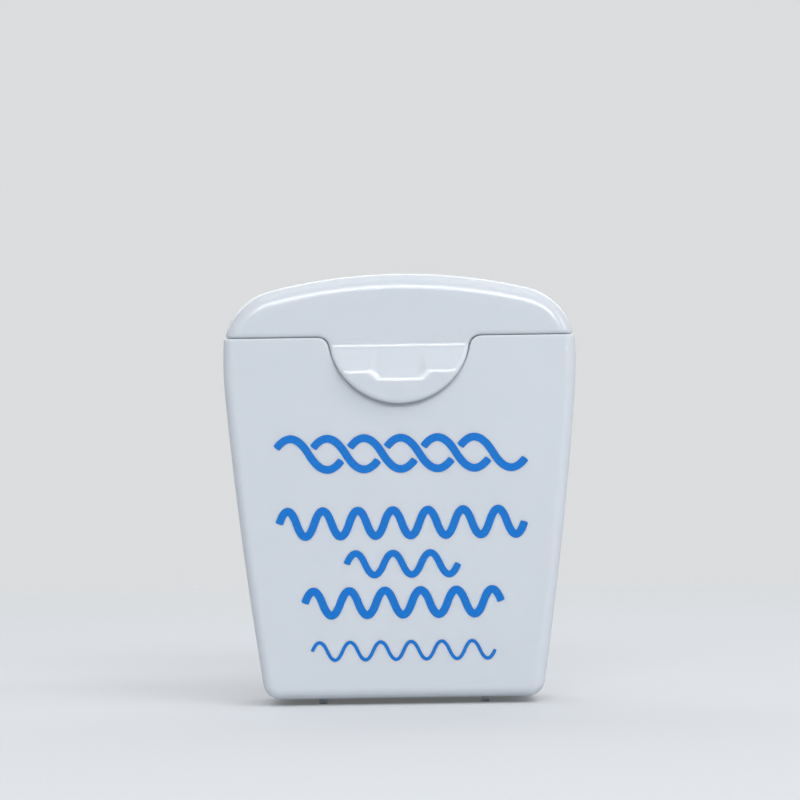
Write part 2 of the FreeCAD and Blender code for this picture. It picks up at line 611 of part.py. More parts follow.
def build_front_shell():
    """Front half of the case: a shallow tray with a lap, pins and the relief behind the lid's tab."""
    body = new_body("front_shell_tray")
    block = new_sketch(body, "front_block", "XZ_Plane", "front_face")
    draw_case_outline(block, "0", "seam_level")
    pad(body, block, "front_shell_depth")
    round_edges(body, "front_rounding", lambda edge: lies_at(edge, "y", "front_face")
                and not lies_at(edge, "z", "seam_level"), "case_edge_radius")
    lap = new_sketch(body, "front_lap", "XZ_Plane", "parting_face")
    draw_case_outline(lap, "lap_inset", "seam_level")
    pad(body, lap, "lap_length")
    cavity = new_sketch(body, "front_cavity", "XZ_Plane", "front_face + case_wall")
    draw_case_outline(cavity, "case_wall", "seam_level + overrun")
    pocket(body, cavity, "front_shell_depth + lap_length")

    inner_face = "front_face + case_wall"
    pin = new_sketch(body, "hub_pin", "XZ_Plane", inner_face)
    draw_circle(pin, "0", "spool_level", "hub_radius - hub_wall - hub_pin_clearance")
    draw_circle(pin, "0", "spool_level", "hub_radius - hub_wall - hub_pin_clearance - hub_pin_wall")
    pad(body, pin, "hub_pin_length")
    ring = new_sketch(body, "front_thrust_ring", "XZ_Plane", inner_face)
    draw_circle(ring, "0", "spool_level", "hub_radius + thrust_ring_wall")
    draw_circle(ring, "0", "spool_level", "hub_radius + thrust_ring_gap")
    pad(body, ring, "thrust_height")

    bosses = new_sketch(body, "corner_bosses", "XZ_Plane", inner_face)
    pins = new_sketch(body, "corner_pins", "XZ_Plane", inner_face)
    for height in ("low", "high"):
        for side in ("", "-"):
            place = (f"{side}{height}_socket_across", f"{height}_socket_level")
            draw_circle(bosses, *place, "socket_radius")
            draw_circle(pins, *place, "socket_pin_radius")
    pad(body, bosses, "front_shell_depth - case_wall - socket_end_gap")
    pad(body, pins, "front_shell_depth - case_wall + socket_pin_reach")
    draw_deck_ribs(body, "front_deck_ribs", inner_face, "front_shell_depth - case_wall - socket_end_gap", 1)

    tool = new_body("tab_relief_tool")
    moon = new_sketch(tool, "relief_moon", "XZ_Plane", "front_face - overrun")
    draw_tab_outline(moon, "tab_gap")
    pad(tool, moon, "case_wall + 2 * overrun")
    behind = new_sketch(tool, "relief_back", "YZ_Plane")
    back = "lid_front + tab_plate + tab_gap"
    far = "front_face + case_wall + 2 * overrun"
    draw_outline(behind, [straight("front_face", "tab_level - tab_radius - overrun"),
                          straight(far, "tab_level - tab_radius - overrun"),
                          straight(far, "lid_bottom + tab_root + overrun"),
                          straight(back, "lid_bottom + tab_root + overrun"),
                          straight(back, "bend_level"), straight("front_face", "crest_level")])
    pocket(tool, behind, "2 * (tab_fillet_across + overrun)", symmetric=True)
    return cut_away("front_shell", body, tool)


def build_base_hinge_straps():
    """Two thin straps folded into loops under the parting line, which join the halves of the case."""
    body = new_body("base_hinge_straps")
    loop = new_sketch(body, "strap_loop", "YZ_Plane", "strap_spacing / 2")
    outer = "strap_loop_radius"
    inner = "(strap_loop_radius - strap_thickness)"
    draw_outline(loop, [
        straight(f"parting_face - {outer}", "base_level"), curved(f"parting_face - {outer}", outer, outer),
        curved("parting_face", "0", outer), straight(f"parting_face + {outer}", outer),
        straight(f"parting_face + {outer}", "base_level"), straight(f"parting_face + {inner}", "base_level"),
        curved(f"parting_face + {inner}", outer, inner, "in"),
        curved("parting_face", f"{outer} - {inner}", inner, "in"),
        straight(f"parting_face - {inner}", outer), straight(f"parting_face - {inner}", "base_level"),
    ])
    strap = pad(body, loop, "strap_width", symmetric=True)
    mirror = body.newObject("PartDesign::Mirrored", "strap_pair")
    mirror.Originals = [strap]
    mirror.MirrorPlane = ([plane for plane in body.Origin.OriginFeatures if plane.Role == "YZ_Plane"][0], [""])
    body.Tip = mirror
    DOCUMENT.recompute()
    return body


def build_lid():
    """Domed flip-top lid with its half-moon thumb tab, catch bead and hinge relief."""
    body = new_body("lid_moulding")
    dome = new_sketch(body, "lid_dome", "XZ_Plane", "lid_front")
    draw_lid_outline(dome, "0", "lid_bottom")
    pad(body, dome, "rear_face - lid_front")
    round_edges(body, "lid_rounding", lambda edge: (lies_at(edge, "y", "lid_front")
                or lies_at(edge, "y", "rear_face")) and not lies_at(edge, "z", "lid_bottom"),
                "lid_edge_radius")
    cavity = new_sketch(body, "lid_cavity", "XZ_Plane", "lid_front + lid_wall")
    draw_lid_outline(cavity, "lid_wall", "lid_bottom - overrun")
    pocket(body, cavity, "rear_face - lid_front - 2 * lid_wall")
    relief = new_sketch(body, "lid_hinge_relief", "YZ_Plane")
    draw_rectangle(relief, "rear_face - overrun", "rear_face + overrun",
                   "lid_bottom - overrun", "lid_bottom + web_relief")
    pocket(body, relief, "web_width + 2 * web_side_gap", symmetric=True)
    bead = new_sketch(body, "lid_catch_bead", "YZ_Plane")
    inner = "lid_front + lid_wall"
    draw_outline(bead, [straight(f"{inner} - lid_wall / 2", "lid_bottom"), straight(inner, "lid_bottom"),
                        straight(f"{inner} + lid_bead_reach", "lid_bottom + lid_bead_height / 2"),
                        straight(inner, "lid_bottom + lid_bead_height"),
                        straight(f"{inner} - lid_wall / 2", "lid_bottom + lid_bead_height")])
    pad(body, bead, "2 * catch_half_width", symmetric=True)

    moon = new_sketch(body, "tab_moon", "XZ_Plane", "tab_lip")
    draw_tab_outline(moon, "0")
    pad(body, moon, "lean_run + tab_plate")
    ahead = new_sketch(body, "tab_lean", "YZ_Plane")
    top = "lid_bottom + tab_root + overrun"
    foot = "tab_level - tab_radius - overrun"
    crest_setback = "tab_crest_radius * lean_half_tangent"
    bend_setback = "tab_bend_radius * lean_half_tangent"
    draw_outline(ahead, [
        straight("tab_lip - overrun", f"crest_level - {crest_setback}"),
        curved("tab_lip", f"crest_level - {crest_setback}", "tab_crest_radius", "in"),
        straight(f"tab_lip + {crest_setback} * lean_run / lean_length",
                 f"crest_level + {crest_setback} * lean_rise / lean_length"),
        curved(f"lid_front - {bend_setback} * lean_run / lean_length",
               f"bend_level - {bend_setback} * lean_rise / lean_length", "tab_bend_radius"),
        straight("lid_front", f"bend_level + {bend_setback}"), straight("lid_front", top),
        straight("tab_lip - overrun", top),
    ])
    pocket(body, ahead, "2 * (tab_fillet_across + overrun)", symmetric=True)
    behind = new_sketch(body, "tab_back", "YZ_Plane")
    back = "lid_front + tab_plate"
    draw_outline(behind, [straight("front_face - tab_gap", foot), straight(f"{back} + overrun", foot),
                          straight(f"{back} + overrun", "bend_level"), straight(back, "bend_level"),
                          straight("front_face - tab_gap", "crest_level")])
    pocket(body, behind, "2 * (tab_fillet_across + overrun)", symmetric=True)
    round_edges(body, "tab_rim", lambda edge: lies_at(edge, "y", "tab_lip") and is_round(edge, "tab_radius"),
                "tab_rim_radius")

    tool = new_body("thumb_scoop_tool")
    for name, grow, slant, depth in (("scoop_fan", "0", "scoop_wall_slant", "lean_run"),
                                     ("scoop_rim", "scoop_rim_width", "scoop_rim_slant", "scoop_rim_depth")):
        fan = new_sketch(tool, name, "XZ_Plane", "tab_lip")
        draw_scoop_outline(fan, grow)
        funnel = pad(tool, fan, depth)
        funnel.setExpression("TaperAngle", f"-({bound(slant)})")
        DOCUMENT.recompute()
    floor = new_sketch(tool, "scoop_floor", "YZ_Plane")
    far = "lid_front + overrun"
    low = "crest_level - scoop_dip - overrun"
    draw_outline(floor, [
        straight("tab_lip", low), straight(far, low), straight(far, "bend_level + overrun"),
        straight("tab_lip + scoop_run", "bend_level + overrun"), straight("tab_lip + scoop_run", "scoop_top"),
        curved("tab_lip + scoop_setback * scoop_run / scoop_length",
               "crest_level - scoop_dip + scoop_setback * scoop_rise / scoop_length", "tab_crest_radius"),
        straight("tab_lip", "scoop_foot"),
    ])
    pocket(tool, floor, "2 * (tab_fillet_across + overrun)", symmetric=True)
    return cut_away("lid", body, tool)


def build_lid_hinge_web():
    """Thin living hinge that joins the rear walls of case and lid, bowed out while the lid is shut."""
    body = new_body("lid_hinge_web")
    bow = new_sketch(body, "web_bow", "YZ_Plane")
    draw_outline(bow, [
        straight("rear_face - web_thickness", "seam_level - web_relief"),
        curved("rear_face", "seam_level - web_relief", "web_arc_radius"),
        straight("rear_face", "lid_bottom + web_relief"),
        curved("rear_face - web_thickness", "lid_bottom + web_relief", "web_arc_radius", "in"),
    ])
    pad(body, bow, "web_width", symmetric=True)
    return body


def build_deck_insert():
    """Deck that closes the case's mouth: skirt, floor, collar, guide boss and cutter seat."""
    body = new_body("deck_insert")
    sides = ("-deck_half_width", "deck_half_width", "deck_front", "deck_rear")

    def inset(sketch, amount):
        """Draw the deck's plan set in by an amount."""
        draw_rounded_rectangle(sketch, f"{sides[0]} + {amount}", f"{sides[1]} - ({amount})",
                               f"{sides[2]} + {amount}", f"{sides[3]} - ({amount})",
                               f"deck_corner_radius - ({amount})")

    skirt = new_sketch(body, "deck_plan", "XY_Plane", "deck_bottom")
    inset(skirt, "0")
    pad(body, skirt, "deck_level - deck_bottom")
    hollow = new_sketch(body, "deck_hollow", "XY_Plane", "deck_bottom")
    inset(hollow, "deck_skirt_wall")
    pocket(body, hollow, "deck_level - deck_floor - deck_bottom")
    collar = new_sketch(body, "deck_collar", "XY_Plane", "deck_level")
    inset(collar, "collar_inset")
    draw_rectangle(collar, "-deck_half_width + collar_inset + collar_wall",
                   "deck_half_width - collar_inset - collar_wall",
                   "deck_front + collar_inset + collar_wall", "deck_rear - collar_inset - collar_wall")
    pad(body, collar, "collar_level - deck_level")
    chamfer_edges(body, "collar_rim", lambda edge: lies_at(edge, "z", "collar_level"), "collar_chamfer")
    ridge = new_sketch(body, "catch_ridge", "YZ_Plane")
    draw_circle(ridge, "deck_front + collar_inset", "catch_level", "catch_ridge_radius")
    pad(body, ridge, "2 * catch_half_width", symmetric=True)
    beads = new_sketch(body, "snap_beads", "XZ_Plane", "spool_middle - snap_bead_length / 2")
    draw_snap_wedge(beads, "", "0")
    draw_snap_wedge(beads, "-", "0")
    pad(body, beads, "snap_bead_length")

    boss = new_sketch(body, "guide_boss", "XY_Plane", "deck_level")
    draw_circle(boss, "-guide_offset", "spool_middle", "guide_boss_radius")
    pad(body, boss, "collar_level - deck_level")
    hole = new_sketch(body, "guide_hole", "XY_Plane", "collar_level")
    draw_circle(hole, "-guide_offset", "spool_middle", "guide_hole_radius")
    pocket(body, hole, "collar_level - deck_level + deck_floor + overrun", towards=-1)
    round_edges(body, "guide_lip", lambda edge: lies_at(edge, "z", "collar_level")
                and is_round(edge, "guide_hole_radius"), "guide_lip_radius")
    chamfer_edges(body, "guide_mouth", lambda edge: lies_at(edge, "z", "deck_level - deck_floor")
                  and is_round(edge, "guide_hole_radius"), "guide_mouth_flare")

    seat = new_sketch(body, "cutter_seat", "XY_Plane", "deck_level")
    across = "(cutter_length / 2 + cutter_seat_margin)"
    along = "(cutter_width / 2 + cutter_seat_margin)"
    draw_rectangle(seat, f"-cutter_offset - {across}", f"-cutter_offset + {across}",
                   f"spool_middle - {along}", f"spool_middle + {along}")
    pad(body, seat, "seat_level - deck_level")
    under = new_sketch(body, "cutter_seat_hollow", "XY_Plane", "deck_level - deck_floor")
    draw_rectangle(under, f"-cutter_offset - {across} + deck_floor", f"-cutter_offset + {across} - deck_floor",
                   f"spool_middle - {along} + deck_floor", f"spool_middle + {along} - deck_floor")
    pocket(body, under, "seat_level - deck_level")
    slots = new_sketch(body, "cutter_slots", "XY_Plane", "seat_level")
    for side in ("-", ""):
        end = f"-cutter_offset + {side}(cutter_length / 2 - cutter_gauge / 2)"
        draw_rectangle(slots, f"{end} - cutter_gauge / 2 - cutter_slot_clearance",
                       f"{end} + cutter_gauge / 2 + cutter_slot_clearance",
                       "spool_middle - cutter_leg_width / 2 - cutter_slot_clearance",
                       "spool_middle + cutter_leg_width / 2 + cutter_slot_clearance")
    pocket(body, slots, "cutter_leg_length + overrun", towards=-1)
    return body


def draw_tooth_cut(sketch, side):
    """Draw what is nibbled away beside one edge of the tongue, whose teeth point outwards."""
    root = "spool_middle + cutter_width / 2 - tongue_root_margin"
    corners = []
    for step in range(2 * TOOTH_COUNT + 1):
        share = step / (2 * TOOTH_COUNT)
        bite = "tongue_tooth_depth" if step % 2 else "0"
        half = f"(tongue_width / 2 + (tongue_tip_width - tongue_width) / 2 * {share} - {bite})"
        corners.append(straight(f"-cutter_offset + {side}{half}", f"{root} - tongue_reach * {share}"))
    outside = f"-cutter_offset + {side}(tongue_width / 2 + cutter_window_margin / 2)"
    tip = f"{root} - tongue_reach - cutter_window_margin / 2"
    corners.append(straight(f"-cutter_offset + {side}(tongue_tip_width / 2)", tip))
    corners += [straight(outside, tip), straight(outside, root)]
    draw_outline(sketch, corners)


def build_cutter():
    """Steel cutter stamped from sheet: plate with a window, two legs and a raised toothed tongue."""
    body = new_body("cutter")
    plate = new_sketch(body, "cutter_plate", "XY_Plane", "seat_level")
    draw_rounded_rectangle(plate, "-cutter_offset - cutter_length / 2", "-cutter_offset + cutter_length / 2",
                           "spool_middle - cutter_width / 2", "spool_middle + cutter_width / 2",
                           "cutter_corner_radius")
    root = "spool_middle + cutter_width / 2 - tongue_root_margin"
    tip = f"{root} - tongue_reach"
    wide = "(tongue_width / 2 + cutter_window_margin)"
    narrow = "(tongue_tip_width / 2 + cutter_window_margin)"
    draw_outline(plate, [straight(f"-cutter_offset - {narrow}", f"{tip} - cutter_window_margin"),
                         straight(f"-cutter_offset + {narrow}", f"{tip} - cutter_window_margin"),
                         straight(f"-cutter_offset + {wide}", root), straight(f"-cutter_offset - {wide}", root)])
    pad(body, plate, "cutter_gauge")
    for side, towards in (("-", 1), ("", -1)):
        name = "cutter_leg_left" if side else "cutter_leg_right"
        leg = new_sketch(body, name, "YZ_Plane", f"-cutter_offset + {side}cutter_length / 2")
        low = "seat_level - cutter_leg_length"
        draw_outline(leg, [
            straight("spool_middle - cutter_leg_width / 2 + cutter_leg_point", low),
            straight("spool_middle + cutter_leg_width / 2 - cutter_leg_point", low),
            straight("spool_middle + cutter_leg_width / 2", f"{low} + cutter_leg_point"),
            straight("spool_middle + cutter_leg_width / 2", "cutter_top"),
            straight("spool_middle - cutter_leg_width / 2", "cutter_top"),
            straight("spool_middle - cutter_leg_width / 2", f"{low} + cutter_leg_point"),
        ])
        pad(body, leg, "cutter_gauge", towards)
    tongue = new_sketch(body, "cutter_tongue", "YZ_Plane", "-cutter_offset")
    draw_outline(tongue, [straight(tip, "seat_level + tongue_rise"), straight(root, "seat_level"),
                          straight(root, "cutter_top"), straight(tip, "cutter_top + tongue_rise")])
    pad(body, tongue, "tongue_width", symmetric=True)
    for side in ("-", ""):
        name = "tongue_edge_left" if side else "tongue_edge_right"
        edge = new_sketch(body, name, "XY_Plane", "seat_level")
        draw_tooth_cut(edge, side)
        pocket(body, edge, "tongue_rise + cutter_gauge + overrun")
    return body


def revolve(body, sketch):
    """Turn a sketch round the body's own Y axis."""
    feature = body.newObject("PartDesign::Revolution", sketch.Name + "_turned")
    feature.Profile = sketch
    feature.ReferenceAxis = (sketch, ["V_Axis"])
    DOCUMENT.recompute()
    return feature


def put_on_spool_axis(body):
    """Place a body that is modelled round its own Y axis on the spool's axis."""
    body.setExpression("Placement.Base.y", bound("spool_middle"))
    body.setExpression("Placement.Base.z", bound("spool_level"))
    DOCUMENT.recompute()


def build_spool_core():
    """Tube that the floss is wound on, with drive slots for the winding machine in its rear end."""
    body = new_body("spool_core")
    wall = new_sketch(body, "core_section", "XY_Plane")
    half = "core_length / 2"
    draw_outline(wall, [
        straight("core_bore + core_chamfer", f"-{half}"), straight("core_radius - core_chamfer", f"-{half}"),
        straight("core_radius", f"-{half} + core_chamfer"), straight("core_radius", f"{half} - core_chamfer"),
        straight("core_radius - core_chamfer", half), straight("core_bore + core_chamfer", half),
        straight("core_bore", f"{half} - core_chamfer"), straight("core_bore", f"-{half} + core_chamfer"),
    ])
    revolve(body, wall)
    slot = new_sketch(body, "core_slot", "XZ_Plane", half)
    draw_rectangle(slot, "core_bore / 2", "core_radius + overrun", "-core_slot_width / 2", "core_slot_width / 2")
    cut = pocket(body, slot, "core_slot_depth", towards=-1)
    ring = body.newObject("PartDesign::PolarPattern", "core_slots")
    ring.Originals = [cut]
    ring.Axis = ([axis for axis in body.Origin.OriginFeatures if axis.Role == "Y_Axis"][0], [""])
    ring.Occurrences = CORE_SLOT_COUNT
    body.Tip = ring
    put_on_spool_axis(body)
    return body


def build_floss_winding():
    """The wound floss, a thick ring whose outer corners slant."""
    body = new_body("floss_winding")
    heap = new_sketch(body, "winding_section", "XY_Plane")
    half = "winding_width / 2"
    draw_outline(heap, [
        straight("core_radius", f"-{half}"), straight("winding_radius - winding_shoulder", f"-{half}"),
        straight("winding_radius", f"-{half} + winding_shoulder"),
        straight("winding_radius", f"{half} - winding_shoulder"),
        straight("winding_radius - winding_shoulder", half), straight("core_radius", half),
    ])
    revolve(body, heap)
    put_on_spool_axis(body)
    return body


def bent_wire(points, bends):
    """Return a wire of straight runs through points, joined by tangent arcs of the given radii."""
    edges = []
    reached = points[0]
    for corner, following, radius in zip(points[1:], points[2:], bends):
        arriving = (corner - reached).normalize()
        leaving = (following - corner).normalize()
        turn = arriving.getAngle(leaving)
        setback = radius * math.tan(turn / 2)
        start = corner - arriving * setback
        end = corner + leaving * setback
        bisector = (leaving - arriving).normalize()
        centre = corner + bisector * (radius / math.cos(turn / 2))
        middle = centre - bisector * radius
        edges += [Part.LineSegment(reached, start).toShape(), Part.Arc(start, middle, end).toShape()]
        reached = end
    edges.append(Part.LineSegment(reached, points[-1]).toShape())
    return Part.Wire(edges)


def build_floss_strand():
    """Strand from the winding, up through the guide, over its lip and under the cutter's tongue."""
    layer = size("spool_middle")
    up_line = size("-guide_offset + guide_hole_radius + guide_lip_radius - strand_guide_bend")
    entry = Vector(up_line, layer, size("deck_level - deck_floor - guide_mouth_flare"))
    axis = Vector(0, layer, size("spool_level"))
    reach = entry - axis
    ride = size("winding_radius + strand_gap + strand_thickness / 2")
    angle = math.atan2(reach.z, reach.x) + math.acos(ride / reach.Length)
    leave = axis + Vector(math.cos(angle), 0, math.sin(angle)) * ride
    floss_level = size("floss_level")
    turn_down = size("-cutter_offset + cutter_length / 2 + cutter_seat_margin + strand_tail_past_cutter")
    lying = size("deck_level + strand_thickness / 2 + strand_lift")
    lands = turn_down + size("strand_tail_slant")
    points = [
        leave, entry, Vector(up_line, layer, floss_level), Vector(turn_down, layer, floss_level),
        Vector(lands, layer, lying), Vector(lands + size("strand_tail_length"), layer, lying),
    ]
    bends = [size("strand_entry_bend"), size("strand_guide_bend"), size("strand_tail_bend"),
             size("strand_tail_bend")]
    path = bent_wire(points, bends)
    along = Vector(0, size("strand_width") / 2, 0)
    across = along.cross(entry - leave).normalize() * size("strand_thickness") / 2
    corners = [leave - along - across, leave + along - across, leave + along + across, leave - along + across]
    section = Part.makePolygon(corners + corners[:1])
    solid = path.makePipeShell([section], True, False)
    print(f"strand: length {path.Length:.2f}, bend radii {bends}")
    expected = size("strand_width * strand_thickness") * path.Length
    if abs(solid.Volume / expected - 1) > STRAND_VOLUME_TOLERANCE:
        raise RuntimeError("the strand's volume does not match its length")
    strand = DOCUMENT.addObject("Part::Feature", "floss_strand")
    strand.Label = "floss_strand"
    strand.Shape = solid
    return strand


def check_document():
    """Stop if any object of the document failed to build."""
    for item in DOCUMENT.Objects:
        if "Invalid" in item.State or "Error" in item.State:
            raise RuntimeError(f"{item.Name} failed: {item.State}")


def write_piece(piece):
    """Check a piece's shape and write it under the piece's name."""
    shape = piece.Shape
    if shape.isNull() or not shape.isValid() or not shape.Solids:
        raise RuntimeError(f"{piece.Label} has no valid solid")
    shape.exportStep(f"parts/{piece.Label}.step")
    box = shape.BoundBox
    print(f"{piece.Label}: {len(shape.Solids)} solid, {shape.Volume:.1f} mm3, x {box.XMin:.2f}..{box.XMax:.2f}, "
          f"y {box.YMin:.2f}..{box.YMax:.2f}, z {box.ZMin:.2f}..{box.ZMax:.2f}")


fill_sheet()
PIECES = [
    build_rear_shell(),
    build_front_shell(),
    build_base_hinge_straps(),
    build_deck_insert(),
    build_cutter(),
    build_floss_strand(),
    build_lid(),
    build_lid_hinge_web(),
    build_spool_core(),
    build_floss_winding(),
]
DOCUMENT.recompute()
check_document()
os.makedirs("parts", exist_ok=True)
for finished in PIECES:
    write_piece(finished)
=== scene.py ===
"""Looks of the flip-top floss dispenser: finishes, floss, hinge, printed motif, studio and camera.

The dispenser stands on its base with +Z up and its front towards -Y, in metres. Sizes in the classes are in
millimetres and are scaled where a mesh is made; those of the studio and the camera are in metres.
"""

import contextlib
import logging
import math
from dataclasses import dataclass, field
from enum import Enum
from typing import Any, Callable, Iterator, Sequence

import bmesh
import bpy
from mathutils import Matrix, Vector

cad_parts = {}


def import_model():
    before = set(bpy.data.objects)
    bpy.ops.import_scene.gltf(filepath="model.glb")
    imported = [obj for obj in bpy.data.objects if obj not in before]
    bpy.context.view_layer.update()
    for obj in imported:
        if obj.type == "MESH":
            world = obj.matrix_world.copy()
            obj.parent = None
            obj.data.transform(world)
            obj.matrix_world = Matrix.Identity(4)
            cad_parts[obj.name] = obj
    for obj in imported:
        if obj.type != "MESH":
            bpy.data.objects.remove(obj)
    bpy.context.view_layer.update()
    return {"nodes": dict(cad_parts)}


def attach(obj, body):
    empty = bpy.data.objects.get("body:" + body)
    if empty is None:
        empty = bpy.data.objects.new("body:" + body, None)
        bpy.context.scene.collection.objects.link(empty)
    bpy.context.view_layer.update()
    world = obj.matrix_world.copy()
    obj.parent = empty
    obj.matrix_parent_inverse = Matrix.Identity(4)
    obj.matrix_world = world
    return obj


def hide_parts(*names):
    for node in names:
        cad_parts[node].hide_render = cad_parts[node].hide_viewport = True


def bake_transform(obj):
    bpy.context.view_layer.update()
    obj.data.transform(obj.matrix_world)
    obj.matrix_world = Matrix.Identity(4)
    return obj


LOG = logging.getLogger("dispenser")
MM = 0.001
CLOSE = 1e-7

Colour = tuple[float, float, float]
Point = tuple[float, float, float]


class Part(Enum):
    """The kinds of mesh element that can be selected."""

    VERTEX = "VERT"
    EDGE = "EDGE"


class Body(Enum):
    """The bodies of the dispenser that a piece can ride on."""

    CASE = "case"
    LID = "lid"
    SPOOL = "spool"


class Slot(Enum):
    """Names of two of the record's material slots; nothing in this script reads them."""

    LID = "lid_white"
    FLOSS = "floss"


# ---------------------------------------------------------------- shader maths


class Socket:
    """An output of a shader node, on which arithmetic adds Math nodes."""

    def __init__(self, tree: "Tree", link: bpy.types.NodeSocket) -> None:
        """Wrap an output socket of a tree."""
        self.tree = tree
        self.link = link

    def __add__(self, other: "Number") -> "Socket":
        """Return self + other."""
        return self.tree.math("ADD", self, other)

    def __radd__(self, other: "Number") -> "Socket":
        """Return other + self."""
        return self.tree.math("ADD", other, self)

    def __sub__(self, other: "Number") -> "Socket":
        """Return self - other."""
        return self.tree.math("SUBTRACT", self, other)

    def __rsub__(self, other: "Number") -> "Socket":
        """Return other - self."""
        return self.tree.math("SUBTRACT", other, self)

    def __mul__(self, other: "Number") -> "Socket":
        """Return self * other."""
        return self.tree.math("MULTIPLY", self, other)

    def __rmul__(self, other: "Number") -> "Socket":
        """Return other * self."""
        return self.tree.math("MULTIPLY", other, self)

    def __truediv__(self, other: "Number") -> "Socket":
        """Return self / other."""
        return self.tree.math("DIVIDE", self, other)

    def __rtruediv__(self, other: "Number") -> "Socket":
        """Return other / self."""
        return self.tree.math("DIVIDE", other, self)

    def __pow__(self, other: "Number") -> "Socket":
        """Return self to the power of other."""
        return self.tree.math("POWER", self, other)

    def __gt__(self, other: "Number") -> "Socket":
        """Return 1 where self is greater than other, else 0."""
        return self.tree.math("GREATER_THAN", self, other)

    def rise(self, low: float, high: float) -> "Socket":
        """Return a smooth rise from 0 at low to 1 at high."""
        settings = {"interpolation_type": "SMOOTHSTEP"}
        node = self.tree.node("ShaderNodeMapRange", settings, {0: self, 1: low, 2: high, 3: 0.0, 4: 1.0})
        return Socket(self.tree, node.outputs[0])


Number = Socket | float


class Tree:
    """The node tree of one material, or of the world."""

    def __init__(self, name: str, owner: bpy.types.ID | None = None) -> None:
        """Make an empty tree under a name, in a new material unless it has an owner."""
        self.material = owner or bpy.data.materials.new(name)
        self.material.use_nodes = True
        self.nodes = self.material.node_tree.nodes
        self.links = self.material.node_tree.links
        self.nodes.clear()

    def node(self, kind: str, settings: dict[str, Any], sockets: dict[str | int, Any]) -> bpy.types.Node:
        """Add any node.

        Args:
            kind: the node's type.
            settings: the node's properties.
            sockets: the values or links of the node's inputs, by name or number.

        Returns:
            The node.
        """
        made = self.nodes.new(kind)
        for name, value in settings.items():
            setattr(made, name, value)
        for key, value in sockets.items():
            if isinstance(value, Socket):
                self.links.new(value.link, made.inputs[key])
            else:
                made.inputs[key].default_value = value
        return made

    def math(self, operation: str, *values: Number) -> Socket:
        """Return the result of a Math node on one or two values."""
        node = self.node("ShaderNodeMath", {"operation": operation}, dict(enumerate(values)))
        return Socket(self, node.outputs[0])

    def place(self) -> Socket:
        """Return the point's place on the piece, in metres."""
        return Socket(self, self.node("ShaderNodeTexCoord", {}, {}).outputs["Object"])

    def axes(self, place: Socket) -> tuple[Socket, Socket, Socket]:
        """Return the three coordinates of a place."""
        node = self.node("ShaderNodeSeparateXYZ", {}, {0: place})
        return tuple(Socket(self, output) for output in node.outputs)

    def turned(self, place: Socket, turn: Point, stretch: Point) -> Socket:
        """Return a place turned by angles in degrees and stretched."""
        angles = tuple(math.radians(angle) for angle in turn)
        node = self.node("ShaderNodeMapping", {}, {"Vector": place, "Rotation": angles, "Scale": stretch})
        return Socket(self, node.outputs[0])

    def stretched(self, place: Socket, stretch: Point) -> Socket:
        """Return a place stretched along the axes."""
        return self.turned(place, (0.0, 0.0, 0.0), stretch)

    def noise(self, place: Socket, grain: float, detail: float = 2.0, warp: float = 0.0) -> Socket:
        """Return a cloudy value around 0.5 whose grains are some millimetres wide."""
        sockets = {"Vector": place, "Scale": 1 / (grain * MM), "Detail": detail, "Distortion": warp}
        node = self.node("ShaderNodeTexNoise", {"noise_dimensions": "3D"}, sockets)
        return Socket(self, node.outputs[0])

    def mix(self, share: Number, first: "Colour | Socket", second: "Colour | Socket") -> Socket:
        """Return a colour between two, by a share."""
        inputs = {6: first, 7: second}
        sockets = {key: value if isinstance(value, Socket) else (*value, 1.0)
                   for key, value in inputs.items()}
        node = self.node("ShaderNodeMix", {"data_type": "RGBA"}, {0: share, **sockets})
        return Socket(self, node.outputs[2])

    def seen(self) -> Socket:
        """Return 1 for what the camera sees itself or in gloss or through glass, else 0."""
        path = self.node("ShaderNodeLightPath", {}, {})
        camera, gloss, glass = (Socket(self, path.outputs[name]) for name in
                                ("Is Camera Ray", "Is Glossy Ray", "Is Transmission Ray"))
        return self.math("MAXIMUM", camera, self.math("MAXIMUM", gloss, glass))

    def bump(self, height: Socket, depth: float, rounding: Number = 0.0) -> Socket:
        """Return the normal over a rough surface.

        Args:
            height: the relief, between 0 and 1.
            depth: the depth in millimetres that the relief stands for.
            rounding: how far edges and creases are blended, in millimetres, alike or from place to place.

        Returns:
            The normal.
        """
        sockets = {"Strength": 1.0, "Distance": depth * MM, "Height": height}
        if rounding:
            soft = self.node("ShaderNodeBevel", {"samples": 16}, {"Radius": rounding * MM})
            sockets["Normal"] = Socket(self, soft.outputs[0])
        return Socket(self, self.node("ShaderNodeBump", {}, sockets).outputs[0])

    def surface(self, sockets: dict[str, Any]) -> bpy.types.Material:
        """Finish the material with a Principled shader whose sockets are given."""
        shader = self.node("ShaderNodeBsdfPrincipled", {}, sockets)
        self.node("ShaderNodeOutputMaterial", {}, {"Surface": Socket(self, shader.outputs[0])})
        return self.material


# ---------------------------------------------------------------- finishes


